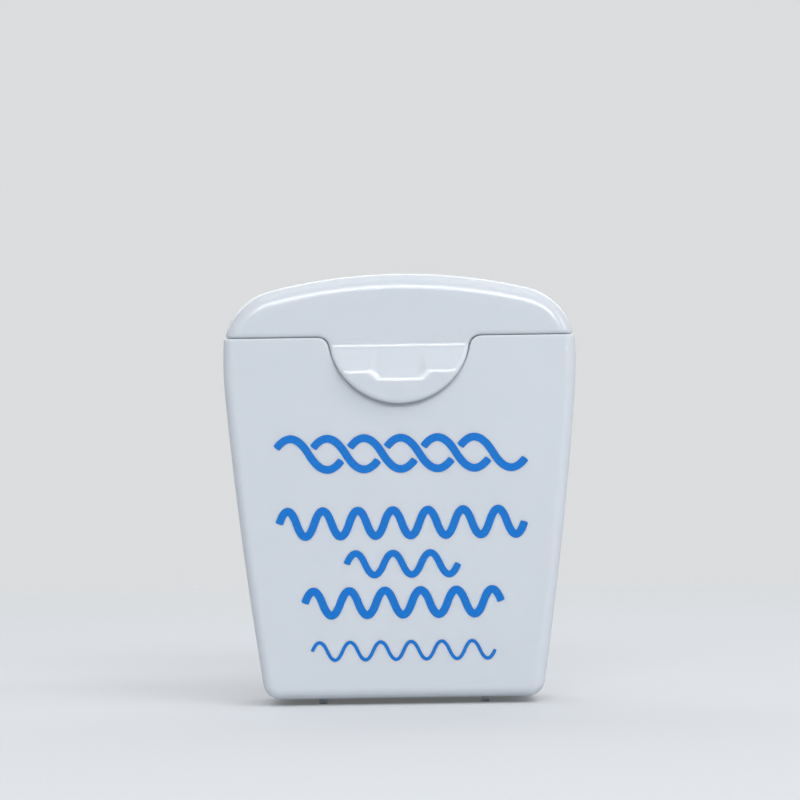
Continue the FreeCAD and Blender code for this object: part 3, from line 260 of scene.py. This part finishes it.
@dataclass(frozen=True)
class Moulding:
    """Opaque white moulded plastic, with flow clouds, fine skin, handling smudges and hairline scuffs.

    Grains, depths and levels are in millimetres. The rear wall is marked where sinks are given. Edges are
    blended where a rounding is given, and above the crown_level the blending grows to the crown_rounding.
    """

    name: str
    colour: Colour
    shade: Colour
    roughness: float
    skin_depth: float
    scuffs: float
    sinks: tuple[Point, ...] = ()
    rounding: float = 0.0
    crown_rounding: float = 0.0
    crown_level: float = 57.0
    crown_run: float = 1.5
    rear: float = 9.675
    rear_band: float = 0.2
    sink_rim: tuple[float, float] = (0.4, 1.3)
    sink_depth: float = 0.006
    gate_level: float = 26.0
    gate_rim: tuple[float, float] = (1.35, 1.6)
    gate_depth: float = 0.12
    nib_rim: tuple[float, float] = (0.25, 0.45)
    nib_height: float = 0.10
    cloud_grain: float = 13.0
    peel_grain: float = 1.9
    skin_grain: float = 0.16
    smudge_grain: float = 5.0
    scuff_grain: float = 0.11
    scuff_patch: float = 14.0

    def marks(self, tree: Tree, place: Socket) -> Socket:
        """Return how deep the rear wall dips at the faint sinks over ribs and bosses and at the gate.

        Args:
            tree: the material's tree.
            place: the point's place.

        Returns:
            The depth in millimetres.
        """
        across, along, up = tree.axes(place)
        depth: Number = 0.0
        for centre_x, centre_z, radius in self.sinks:
            away = ((across - centre_x * MM) ** 2.0 + (up - centre_z * MM) ** 2.0) ** 0.5
            low, high = (radius * share * MM for share in self.sink_rim)
            depth = depth + (1.0 - away.rise(low, high)) * self.sink_depth
        away = (across ** 2.0 + (up - self.gate_level * MM) ** 2.0) ** 0.5
        dish, nib = (1.0 - away.rise(low * MM, high * MM) for low, high in (self.gate_rim, self.nib_rim))
        depth = depth + dish * self.gate_depth - nib * self.nib_height
        return depth * (along > (self.rear - self.rear_band) * MM)

    def blending(self, tree: Tree, place: Socket) -> Number:
        """Return how far edges are blended, in millimetres, more towards the crown where that is wanted.

        Args:
            tree: the material's tree.
            place: the point's place.

        Returns:
            The radius, alike all over or from place to place.
        """
        if not self.crown_rounding:
            return self.rounding
        low, high = self.crown_level, self.crown_level + self.crown_run
        crown = tree.axes(place)[2].rise(low * MM, high * MM)
        return crown * (self.crown_rounding - self.rounding) + self.rounding

    def build(self) -> bpy.types.Material:
        """Return the material."""
        tree = Tree(self.name)
        place = tree.place()
        clouds = tree.noise(place, self.cloud_grain, 1.0).rise(0.2, 0.8)
        peel = tree.noise(place, self.peel_grain, 0.0)
        skin = tree.noise(place, self.skin_grain, 1.0)
        smudge = tree.noise(place, self.smudge_grain, 3.0, 0.4).rise(0.3, 0.8)
        drawn = tree.turned(place, (12.0, 33.0, 8.0), (0.05, 1.0, 1.0))
        lines = tree.noise(drawn, self.scuff_grain, 1.0).rise(0.76, 0.82)
        worn = tree.noise(place, self.scuff_patch, 1.0).rise(0.52, 0.66) * lines * self.scuffs
        height = peel * 0.5 + skin * 0.25 - worn * 0.4
        if self.sinks:
            height = height - self.marks(tree, place) / self.skin_depth
        roughness = smudge * 0.045 + skin * 0.02 + worn * 0.15 + (self.roughness - 0.03)
        normal = tree.bump(height, self.skin_depth, self.blending(tree, place))
        return tree.surface({
            "Base Color": tree.mix(clouds * 0.8 + worn * 0.2, self.colour, self.shade),
            "Roughness": roughness, "IOR": 1.49, "Normal": normal,
            "Subsurface Weight": 1.0, "Subsurface Radius": (1.0, 0.95, 0.9), "Subsurface Scale": 0.001,
        })


@dataclass(frozen=True)
class StressedHinge:
    """The lid's plastic where it is drawn thin, whiter and duller along the fold."""

    name: str = "hinge_plastic"
    colour: Colour = (0.580, 0.617, 0.662)
    pale: Colour = (0.80, 0.83, 0.86)
    fold_level: float = 54.06
    fold_half_width: float = 0.42
    streak_grain: float = 0.14

    def build(self) -> bpy.types.Material:
        """Return the material."""
        tree = Tree(self.name)
        place = tree.place()
        up = tree.axes(place)[2]
        off = ((up - self.fold_level * MM) ** 2.0) ** 0.5
        drawn = 1.0 - off.rise(0.0, self.fold_half_width * MM)
        streaks = tree.noise(tree.stretched(place, (1.0, 1.0, 0.12)), self.streak_grain, 2.0)
        white = drawn * (streaks * 0.6 + 0.5)
        return tree.surface({
            "Base Color": tree.mix(white, self.colour, self.pale),
            "Roughness": white * 0.18 + 0.3, "IOR": 1.49,
            "Normal": tree.bump(streaks * drawn, 0.02),
        })


@dataclass(frozen=True)
class StampedSteel:
    """Stainless strip with rolling lines, bright worn teeth and a faint haze."""

    name: str = "cutter_steel"
    colour: Colour = (0.43, 0.44, 0.46)
    bright: Colour = (0.62, 0.63, 0.65)
    roughness: float = 0.27
    rolling_grain: float = 0.07
    haze_grain: float = 1.8
    worn_levels: tuple[float, float] = (56.2, 57.3)

    def build(self) -> bpy.types.Material:
        """Return the material."""
        tree = Tree(self.name)
        place = tree.place()
        rolled = tree.noise(tree.stretched(place, (0.04, 1.0, 1.0)), self.rolling_grain, 3.0)
        haze = tree.noise(place, self.haze_grain, 3.0).rise(0.35, 0.7)
        low, high = self.worn_levels
        worn = tree.axes(place)[2].rise(low * MM, high * MM)
        return tree.surface({
            "Base Color": tree.mix(rolled * 0.5 + worn * 0.5, self.colour, self.bright), "Metallic": 1.0,
            "Roughness": rolled * 0.16 + haze * 0.08 + (self.roughness - 0.1),
            "Normal": tree.bump(rolled, 0.006),
        })


@dataclass(frozen=True)
class WaxedFloss:
    """White floss in a thin coat of wax; on the spool its turns cross each other, with painted shade in the
    grooves.
    """

    name: str
    spool_axis: tuple[float, float] | None = None
    colour: Colour = (0.84, 0.85, 0.82)
    wax_tone_and_groove_shade: Colour = (0.66, 0.67, 0.63)
    wax_grain: float = 0.9
    fibre_grain: float = 0.08
    pitch: float = 0.42
    lean: float = 9.0

    def build(self) -> bpy.types.Material:
        """Return the material."""
        tree = Tree(self.name)
        place = tree.place()
        wax = tree.noise(place, self.wax_grain, 3.0, 0.5)
        fibre = tree.noise(tree.stretched(place, (0.2, 1.0, 1.0)), self.fibre_grain, 2.0)
        height = fibre * 0.5 + wax * 0.3
        low = 1.0 - wax.rise(0.25, 0.6)
        if self.spool_axis is not None:
            across, along, up = tree.axes(place)
            angle = tree.math("ARCTAN2", up - self.spool_axis[1] * MM, across - self.spool_axis[0] * MM)
            phase = along * (math.tau / (self.pitch * MM))
            one = tree.math("SINE", phase + angle * self.lean)
            other = tree.math("SINE", phase - angle * self.lean)
            strands = tree.math("MAXIMUM", one, other) * 0.5 + 0.5
            height = height * 0.35 + strands
            # Painted shade: on the spool the colour darkens towards the darker tone in the grooves between
            # the crossing turns.
            low = low * 0.4 + (1.0 - strands) * 0.6
        return tree.surface({
            # The darker tone comes from the wax clouds at random, and on the spool also from the painted
            # groove shade.
            "Base Color": tree.mix(low, self.colour, self.wax_tone_and_groove_shade),
            "Roughness": wax * 0.25 + 0.36, "IOR": 1.44, "Sheen Weight": 0.15, "Sheen Roughness": 0.4,
            "Normal": tree.bump(height, 0.05),
        })


@dataclass(frozen=True)
class PadInk:
    """Blue pad-printed ink, a little thin in places."""

    name: str = "print_blue"
    colour: Colour = (0.001, 0.140, 0.50)
    thin: Colour = (0.004, 0.170, 0.54)
    cover_grain: float = 0.5
    pore_grain: float = 0.11

    def build(self) -> bpy.types.Material:
        """Return the material."""
        tree = Tree(self.name)
        place = tree.place()
        cover = tree.noise(place, self.cover_grain, 3.0).rise(0.42, 0.75)
        pores = tree.noise(place, self.pore_grain, 1.0)
        return tree.surface({
            "Base Color": tree.mix(cover * 0.6, self.colour, self.thin),
            "Roughness": pores * 0.12 + 0.3, "IOR": 1.5, "Specular IOR Level": 0.2,
            "Normal": tree.bump(pores * 0.6 + cover * 0.4, 0.004),
        })


@dataclass(frozen=True)
class StudioPaper:
    """Pale matt paper of the floor, lifted a little where it is seen.

    It fades out between two distances from the dispenser, in metres.
    """

    name: str = "studio_paper"
    colour: Colour = (0.54, 0.56, 0.585)
    lift: float = 0.11
    tooth_grain: float = 1.1
    fade_start: float = 0.12
    fade_end: float = 0.75

    def build(self) -> bpy.types.Material:
        """Return the material."""
        tree = Tree(self.name)
        place = tree.place()
        tooth = tree.noise(place, self.tooth_grain, 2.0)
        shade = tuple(channel * 0.985 for channel in self.colour)
        across, along, _ = tree.axes(place)
        away = (across ** 2.0 + along ** 2.0) ** 0.5
        return tree.surface({
            "Base Color": tree.mix(tooth, self.colour, shade), "Roughness": 0.9, "Specular IOR Level": 0.1,
            "Emission Color": tree.mix(tree.seen(), (0.0, 0.0, 0.0), (self.lift,) * 3),
            "Emission Strength": 1.0, "Alpha": 1.0 - away.rise(self.fade_start, self.fade_end),
        })


def wear(piece: bpy.types.Object, material: bpy.types.Material) -> None:
    """Give a whole piece one material."""
    piece.data.materials.clear()
    piece.data.materials.append(material)
    for face in piece.data.polygons:
        face.material_index = 0


def dress(piece: bpy.types.Object, material: bpy.types.Material) -> None:
    """Put a material into every slot of a solid that keeps its own mesh."""
    for slot in piece.material_slots:
        slot.material = material


# ---------------------------------------------------------------- modelling by hand


class Bench:
    """Primitives, edit mode and modifiers, on one piece at a time."""

    @staticmethod
    def clear() -> None:
        """Deselect every object."""
        bpy.ops.object.select_all(action="DESELECT")

    @staticmethod
    def take(*pieces: bpy.types.Object) -> bpy.types.Object:
        """Select only the given pieces, the first as the active one, and return it."""
        Bench.clear()
        for piece in pieces:
            piece.select_set(True)
        bpy.context.view_layer.objects.active = pieces[0]
        return pieces[0]

    @staticmethod
    @contextlib.contextmanager
    def editing(piece: bpy.types.Object) -> Iterator[None]:
        """Keep a piece in edit mode, with nothing selected at first."""
        Bench.take(piece)
        bpy.ops.object.mode_set(mode="EDIT")
        bpy.ops.mesh.select_all(action="DESELECT")
        yield
        bpy.ops.object.mode_set(mode="OBJECT")

    @staticmethod
    def select(piece: bpy.types.Object, part: Part, test: Callable[[Vector], bool]) -> None:
        """Select the elements of a piece in edit mode whose middle passes a test.

        Args:
            piece: the piece in edit mode.
            part: the kind of element.
            test: tells from an element's middle whether it is wanted.
        """
        bpy.ops.mesh.select_mode(type=part.value)
        bpy.ops.mesh.select_all(action="DESELECT")
        mesh = bmesh.from_edit_mesh(piece.data)
        for element in mesh.verts if part is Part.VERTEX else mesh.edges:
            corners = [element] if part is Part.VERTEX else list(element.verts)
            middle = sum((corner.co for corner in corners), Vector()) / len(corners)
            if test(middle):
                element.select_set(True)
        bmesh.update_edit_mesh(piece.data)

    @staticmethod
    def apply(piece: bpy.types.Object, kind: str, **settings: Any) -> None:
        """Add a modifier to a piece and apply it."""
        Bench.take(piece)
        modifier = piece.modifiers.new(kind.lower(), kind)
        for name, value in settings.items():
            setattr(modifier, name, value)
        bpy.ops.object.modifier_apply(modifier=modifier.name)

    @staticmethod
    def settle(piece: bpy.types.Object, name: str) -> bpy.types.Object:
        """Name a piece and put its place and turn into its mesh."""
        Bench.take(piece)
        bpy.ops.object.transform_apply(location=True, rotation=True, scale=True)
        piece.name = name
        piece.data.name = name
        return piece

    @staticmethod
    def sheet(name: str, size: tuple[float, float], cells: tuple[int, int], place: Point,
              turn: Point = (0.0, 0.0, 0.0)) -> bpy.types.Object:
        """Add a flat rectangle.

        Args:
            name: the piece's name.
            size: its extent along X and Y before it is turned, in metres.
            cells: how many faces it has each way.
            place: its middle.
            turn: its turn about X, Y and Z in degrees.

        Returns:
            The piece, with its place in its mesh.
        """
        Bench.clear()
        angles = tuple(math.radians(angle) for angle in turn)
        bpy.ops.mesh.primitive_grid_add(x_subdivisions=cells[0], y_subdivisions=cells[1], size=1.0,
                                        location=place, rotation=angles)
        piece = bpy.context.active_object
        piece.scale = (*size, 1.0)
        return Bench.settle(piece, name)

    @staticmethod
    def line(points: Sequence[tuple[float, float]]) -> bpy.types.Object:
        """Return a smooth curve in the XY plane whose control points are given, in millimetres."""
        Bench.clear()
        bpy.ops.curve.primitive_nurbs_path_add(location=(0, 0, 0))
        curve = bpy.context.active_object
        curve.data.splines.clear()
        spline = curve.data.splines.new("NURBS")
        spline.points.add(len(points) - 1)
        for point, (across, up) in zip(spline.points, points):
            point.co = (across * MM, up * MM, 0.0, 1.0)
        spline.order_u = 3
        spline.use_endpoint_u = True
        spline.resolution_u = 12
        curve.data.dimensions = "3D"
        curve.data.twist_mode = "Z_UP"
        bpy.context.view_layer.update()
        return curve

    @staticmethod
    def upright(piece: bpy.types.Object, place: Vector) -> None:
        """Turn a piece made in the XY plane so that it stands up and faces the front, at a place."""
        piece.rotation_euler = (math.pi / 2, 0.0, 0.0)
        piece.location = place


# ---------------------------------------------------------------- sub-assemblies


@dataclass
class ThreadStroke:
    """A printed wave of constant width, whole or broken into even dashes, in millimetres.

    halves counts the half waves. A broken stroke starts at the half wave dash_start, and each dash covers
    dash_halves of them, less a gap at both ends.
    """

    name: str
    half_length: float
    level: float
    swing: float
    stroke: float
    halves: int
    dash_start: int = 0
    dash_halves: int = 0
    ink: float = 0.02
    cell: float = 0.22
    gap_share: float = 0.95
    corner_share: float = 0.49
    corner_segments: int = 6

    def control_points(self) -> list[tuple[float, float]]:
        """Return the wave's control points, which lie twice as far out as the wave goes."""
        step = 2 * self.half_length / self.halves
        points = [(-self.half_length, 0.0)]
        for index in range(self.halves):
            side = 1 if index % 2 == 0 else -1
            points.append((-self.half_length + (index + 0.5) * step, side * 2 * self.swing))
        points.append((self.half_length, 0.0))
        return points

    def build(self, face: float) -> bpy.types.Object:
        """Model the stroke on the front face.

        Args:
            face: the place of the front face along Y.

        Returns:
            The stroke, upright on the face.
        """
        curve = Bench.line(self.control_points())
        whole = curve.data.splines[0].calc_length()
        run = whole / self.halves
        gap = self.stroke * MM * self.gap_share
        if self.dash_halves:
            length, pitch = run * self.dash_halves - 2 * gap, run * self.dash_halves
            start = run * self.dash_start + gap
            count = int((whole - start + 1e-9) // (pitch - gap))
        else:
            length, pitch, start, count = whole, whole, 0.0, 1
        cells = max(6, round(length / (self.cell * MM)))
        strip = Bench.sheet(self.name, (length, self.stroke * MM), (cells, 2), (length / 2, 0, 0))
        with Bench.editing(strip):
            Bench.select(strip, Part.VERTEX, lambda spot: abs(abs(spot.y) - self.stroke * MM / 2) < CLOSE
                         and min(abs(spot.x), abs(spot.x - length)) < CLOSE)
            bpy.ops.mesh.bevel(offset=self.stroke * MM * self.corner_share, segments=self.corner_segments,
                               affect="VERTICES")
        Bench.apply(strip, "SOLIDIFY", thickness=self.ink * MM, offset=-1.0)
        if count > 1:
            Bench.apply(strip, "ARRAY", count=count, use_relative_offset=False, use_constant_offset=True,
                        constant_offset_displace=(pitch, 0.0, 0.0))
        strip.location.x = start
        Bench.settle(strip, self.name)
        Bench.apply(strip, "CURVE", object=curve, deform_axis="POS_X")
        bpy.data.objects.remove(curve)
        Bench.upright(strip, Vector((0.0, face - self.ink * MM, self.level * MM)))
        return Bench.settle(strip, self.name)


@dataclass
class Print:
    """The printed front: waves of thread in place of words."""

    face: float = -8.325
    strokes: list[ThreadStroke] = field(default_factory=lambda: [
        ThreadStroke("print_braid_over", 18.9, 36.85, 2.3, 1.15, 7, dash_start=0, dash_halves=2),
        ThreadStroke("print_braid_under", 18.9, 36.85, -2.3, 1.15, 7, dash_start=1, dash_halves=2),
        ThreadStroke("print_wave_wide", 18.0, 26.65, 1.9, 1.15, 14),
        ThreadStroke("print_wave_short", 8.2, 20.65, 1.6, 1.0, 6),
        ThreadStroke("print_wave_middle", 14.4, 15.0, 1.8, 1.15, 11),
        ThreadStroke("print_wave_fine", 13.4, 8.0, 1.3, 0.5, 12),
    ])

    def build(self) -> None:
        """Model and dress every stroke, on the case."""
        ink = PadInk().build()
        for stroke in self.strokes:
            piece = stroke.build(self.face * MM)
            wear(piece, ink)
            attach(piece, Body.CASE.value)
            LOG.info("%s: %d faces", piece.name, len(piece.data.polygons))


@dataclass
class HingeWeb:
    """The lid's living hinge, a thin strip that bows out of the rear face while the lid is shut."""

    width: float = 30.0
    thickness: float = 0.3
    bulge: float = 0.25
    rear: float = 9.675
    low: float = 53.4
    high: float = 54.72
    buried: float = 0.12
    slices: int = 16

    def bow(self, level: float) -> float:
        """Return how far the strip bows out at a level."""
        middle, half = (self.low + self.high) / 2, (self.high - self.low) / 2
        return self.bulge * max(0.0, 1.0 - ((level - middle) / half) ** 2)

    def build(self) -> None:
        """Model the strip slice by slice, dress it and hide the solid's web in its place."""
        height = self.high - self.low + 2 * self.buried
        web = Bench.sheet("hinge_web", (self.width * MM, height * MM), (2, self.slices),
                          (0, self.rear * MM, (self.low + self.high) / 2 * MM), (-90.0, 0.0, 0.0))
        levels = sorted({round(vertex.co.z / MM, 4) for vertex in web.data.vertices})
        with Bench.editing(web):
            for level in levels:
                Bench.select(web, Part.VERTEX, lambda spot: abs(spot.z / MM - level) < 1e-3)
                bpy.ops.transform.translate(value=(0.0, self.bow(level) * MM, 0.0))
        Bench.apply(web, "SOLIDIFY", thickness=self.thickness * MM, offset=-1.0)
        Bench.take(web)
        bpy.ops.object.shade_smooth_by_angle(angle=math.radians(40))
        wear(web, StressedHinge().build())
        self.rear * MM
        self.rear * MM
        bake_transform(web)
        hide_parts("lid_hinge_web")
        LOG.info("%s: %d faces", web.name, len(web.data.polygons))


@dataclass
class Floss:
    """The waxed floss: the wound turns on the spool and the strand up through the guide to the cutter."""

    layer: float = 0.675
    spool_level: float = 26.0
    core_radius: float = 6.5
    winding_radius: float = 18.8
    winding_width: float = 11.4
    shoulder: float = 1.2
    shoulder_steps: int = 6
    turns: int = 30
    ridge: float = 0.13
    spin_steps: int = 96
    strand_width: float = 0.58
    strand_thickness: float = 0.27
    strand_sides: int = 28
    strand_steps: int = 180
    groove: tuple[float, float] = (0.84, 0.95)
    route: tuple[tuple[float, float], ...] = (
        (-18.42, 30.86), (-14.2, 46.8), (-13.0, 51.4), (-13.0, 54.2), (-13.0, 55.77), (-11.4, 55.77),
        (-4.0, 55.77), (2.3, 55.77), (3.9, 55.77), (6.1, 53.57), (8.5, 53.57))

    def winding(self) -> bpy.types.Object:
        """Model the wound ring: a section with one ridge for each turn, spun round the axis."""
        width, high, low = self.winding_width * MM, self.winding_radius * MM, self.core_radius * MM
        ring = Bench.sheet("floss_turns", (width, high - low), (1, 1), (0, (high + low) / 2, 0))
        cuts = 2 * self.turns - 1
        with Bench.editing(ring):
            Bench.select(ring, Part.EDGE, lambda spot: abs(spot.y - high) < CLOSE)
            bpy.ops.mesh.subdivide(number_cuts=cuts)
            step = width / (cuts + 1)
            Bench.select(ring, Part.VERTEX, lambda spot: abs(spot.y - high) < CLOSE
                         and round((spot.x + width / 2) / step) % 2 == 0)
            bpy.ops.transform.translate(value=(0.0, -self.ridge * MM, 0.0))
            for index in range(self.shoulder_steps):
                near = width / 2 - (index + 0.5) * step
                drop = self.shoulder * MM * (1 - (index / self.shoulder_steps) ** 0.5)
                Bench.select(ring, Part.VERTEX, lambda spot: spot.y > high - self.ridge * MM * 1.5
                             and near < abs(spot.x) < near + step)
                bpy.ops.transform.translate(value=(0.0, -drop, 0.0))
            bpy.ops.mesh.select_all(action="SELECT")
            bpy.ops.mesh.delete(type="ONLY_FACE")
            bpy.ops.mesh.select_all(action="SELECT")
            bpy.ops.mesh.spin(steps=self.spin_steps, angle=math.tau, center=(0, 0, 0), axis=(1, 0, 0))
            bpy.ops.mesh.select_all(action="SELECT")
            bpy.ops.mesh.remove_doubles(threshold=1e-6)
            bpy.ops.mesh.normals_make_consistent(inside=False)
        ring.rotation_euler = (0.0, 0.0, math.pi / 2)
        ring.location = (0.0, self.layer * MM, self.spool_level * MM)
        Bench.settle(ring, "floss_turns")
        Bench.take(ring)
        bpy.ops.object.shade_smooth_by_angle(angle=math.radians(75))
        return ring

    def strand(self) -> bpy.types.Object:
        """Model the strand: a flat ribbed section drawn out and laid along its route."""
        curve = Bench.line(self.route)
        length = curve.data.splines[0].calc_length()
        Bench.clear()
        bpy.ops.mesh.primitive_circle_add(vertices=self.strand_sides, radius=0.5,
                                          rotation=(0, math.pi / 2, 0))
        thread = Bench.settle(bpy.context.active_object, "floss_strand_laid")
        thread.scale = (1.0, self.strand_thickness * MM, self.strand_width * MM)
        Bench.settle(thread, "floss_strand_laid")
        outline = [tuple(vertex.co) for vertex in thread.data.vertices]
        hollows = [Vector(spot) for spot in outline[::2]]
        with Bench.editing(thread):
            Bench.select(thread, Part.VERTEX,
                         lambda spot: any((spot - low).length < 1e-8 for low in hollows))
            bpy.ops.transform.resize(value=(1.0, *self.groove))
        Bench.apply(thread, "SCREW", axis="X", angle=0.0, screw_offset=length, steps=self.strand_steps,
                    render_steps=self.strand_steps, use_smooth_shade=True)
        with Bench.editing(thread):
            Bench.select(thread, Part.EDGE, lambda spot: spot.x < CLOSE or spot.x > length - CLOSE)
            bpy.ops.mesh.fill_holes(sides=0)
            bpy.ops.mesh.select_all(action="SELECT")
            bpy.ops.mesh.normals_make_consistent(inside=False)
        Bench.apply(thread, "CURVE", object=curve, deform_axis="POS_X")
        bpy.data.objects.remove(curve)
        Bench.upright(thread, Vector((0.0, self.layer * MM, 0.0)))
        Bench.settle(thread, "floss_strand_laid")
        LOG.info("strand: %.1f mm long", length / MM)
        return thread

    def build(self) -> None:
        """Model, dress and place both parts of the floss."""
        ring = self.winding()
        wear(ring, WaxedFloss("floss_wound", (0.0, self.spool_level)).build())
        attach(ring, Body.SPOOL.value)
        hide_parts("floss_winding")
        thread = self.strand()
        wear(thread, WaxedFloss("floss_thread").build())
        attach(thread, Body.CASE.value)
        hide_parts("floss_strand")
        for piece in (ring, thread):
            LOG.info("%s: %d faces", piece.name, len(piece.data.polygons))


@dataclass
class Mouldings:
    """The moulded and stamped solids, which keep their shapes and get their finishes."""

    white: Colour = (0.580, 0.617, 0.662)
    white_shade: Colour = (0.568, 0.606, 0.653)
    deck_white: Colour = (0.68, 0.705, 0.735)
    deck_shade: Colour = (0.665, 0.692, 0.722)
    core_white: Colour = (0.65, 0.675, 0.705)
    core_shade: Colour = (0.635, 0.66, 0.69)
    sinks: tuple[Point, ...] = (
        (0.0, 26.0, 5.2), (17.28, 6.5, 1.9), (-17.28, 6.5, 1.9), (21.8, 43.0, 1.9), (-21.8, 43.0, 1.9))

    def build(self, nodes: dict[str, bpy.types.Object]) -> None:
        """Dress the solids.

        Args:
            nodes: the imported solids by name.
        """
        case = Moulding("case_white", self.white, self.white_shade, 0.22, 0.004, 0.5)
        rear = Moulding("case_white_rear", self.white, self.white_shade, 0.22, 0.004, 0.8, self.sinks)
        lid = Moulding("lid_white", self.white, self.white_shade, 0.16, 0.003, 0.4, rounding=0.95,
                       crown_rounding=2.0)
        deck = Moulding("deck_white", self.deck_white, self.deck_shade, 0.42, 0.012, 0.2)
        core = Moulding("core_plastic", self.core_white, self.core_shade, 0.42, 0.010, 0.6)
        finishes = {
            "front_shell": case.build(), "rear_shell": rear.build(), "base_hinge_straps": case.build(),
            "lid": lid.build(), "deck_insert": deck.build(), "spool_core": core.build(),
            "cutter": StampedSteel().build(),
        }
        for name, material in finishes.items():
            dress(nodes[name], material)
            LOG.info("%s: %s", name, material.name)


@dataclass(frozen=True)
class SoftLight:
    """A rectangular soft light that faces the middle of the dispenser.

    The azimuth goes from the front towards the right and the elevation up from the horizon, in degrees.
    A radiance of 1 is white, and a light that isn't mirrored doesn't show in gloss.
    """

    name: str
    azimuth: float
    elevation: float
    away: float
    size: tuple[float, float]
    radiance: float
    mirrored: bool = True
    aim_level: float = 0.031

    def hang(self) -> None:
        """Make the light and turn it to the dispenser."""
        data = bpy.data.lights.new(self.name, "AREA")
        data.shape = "RECTANGLE"
        data.size, data.size_y = self.size
        data.energy = self.radiance * math.pi * self.size[0] * self.size[1]
        lamp = bpy.data.objects.new(self.name, data)
        lamp.visible_camera = False
        lamp.visible_glossy = self.mirrored
        bpy.context.scene.collection.objects.link(lamp)
        turn, rise = math.radians(self.azimuth), math.radians(self.elevation)
        back = Vector((math.sin(turn) * math.cos(rise), -math.cos(turn) * math.cos(rise), math.sin(rise)))
        lamp.location = Vector((0.0, 0.0, self.aim_level)) + back * self.away
        lamp.rotation_euler = (-back).to_track_quat("-Z", "Y").to_euler()


@dataclass
class Studio:
    """A pale floor that fades into an even surround, with a wide key over the camera and weaker lights."""

    floor: float = 3.0
    surround: float = 0.38
    horizon: float = 0.73
    cool: Colour = (0.97, 0.985, 1.0)
    lights: tuple[SoftLight, ...] = (
        SoftLight("key", 6.0, 25.0, 1.5, (1.20, 0.36), 10.6),
        SoftLight("slant", 36.0, 48.0, 1.5, (0.45, 0.45), 6.0, mirrored=False),
        SoftLight("side", 64.0, 22.0, 1.6, (0.4, 0.7), 3.0),
        SoftLight("over", 0.0, 80.0, 1.5, (1.5, 1.0), 0.8),
        SoftLight("behind", 185.0, 40.0, 1.5, (2.4, 1.2), 1.3),
    )

    def paper(self) -> None:
        """Lay the floor."""
        sheet = Bench.sheet("paper_floor", (self.floor, self.floor), (1, 1), (0, 0, 0))
        wear(sheet, StudioPaper().build())

    def ground(self) -> None:
        """Set the even surround, paler where it is seen than it lights."""
        world = bpy.data.worlds.new("surround")
        bpy.context.scene.world = world
        tree = Tree("surround", world)
        lit, far = (tuple(channel * level for channel in self.cool)
                    for level in (self.surround, self.horizon))
        backdrop = tree.node("ShaderNodeBackground", {}, {"Color": tree.mix(tree.seen(), lit, far)})
        tree.node("ShaderNodeOutputWorld", {}, {"Surface": Socket(tree, backdrop.outputs[0])})
        bpy.context.scene.view_settings.view_transform = "Standard"

    def build(self) -> None:
        """Lay the floor, hang the lights and set the surround."""
        self.paper()
        for light in self.lights:
            light.hang()
        self.ground()


@dataclass
class Camera:
    """The photograph's view: straight from the front, a little below the middle, slightly rolled."""

    away: float = 0.38
    level: float = 0.030
    aim_level: float = 0.0450
    roll: float = 0.85
    lens: float = 113.95
    sensor: float = 36.0
    reach: tuple[float, float] = (0.01, 10.0)

    def build(self) -> None:
        """Make the camera and hand it to the scene."""
        data = bpy.data.cameras.new("camera")
        data.lens = self.lens
        data.sensor_width = self.sensor
        data.clip_start, data.clip_end = self.reach
        camera = bpy.data.objects.new("camera", data)
        bpy.context.scene.collection.objects.link(camera)
        camera.location = (0.0, -self.away, self.level)
        look = Vector((0.0, 0.0, self.aim_level)) - camera.location
        turn = look.to_track_quat("-Z", "Y").to_matrix() @ Matrix.Rotation(math.radians(-self.roll), 3, "Z")
        camera.rotation_euler = turn.to_euler()
        bpy.context.scene.camera = camera


def main() -> None:
    """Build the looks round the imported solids, in order."""
    logging.basicConfig(level=logging.INFO, format="%(name)s: %(message)s")
    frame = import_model()
    Mouldings().build(frame["nodes"])
    HingeWeb().build()
    Floss().build()
    Print().build()
    Studio().build()
    Camera().build()
    Bench.clear()


if __name__ == "__main__":
    main()
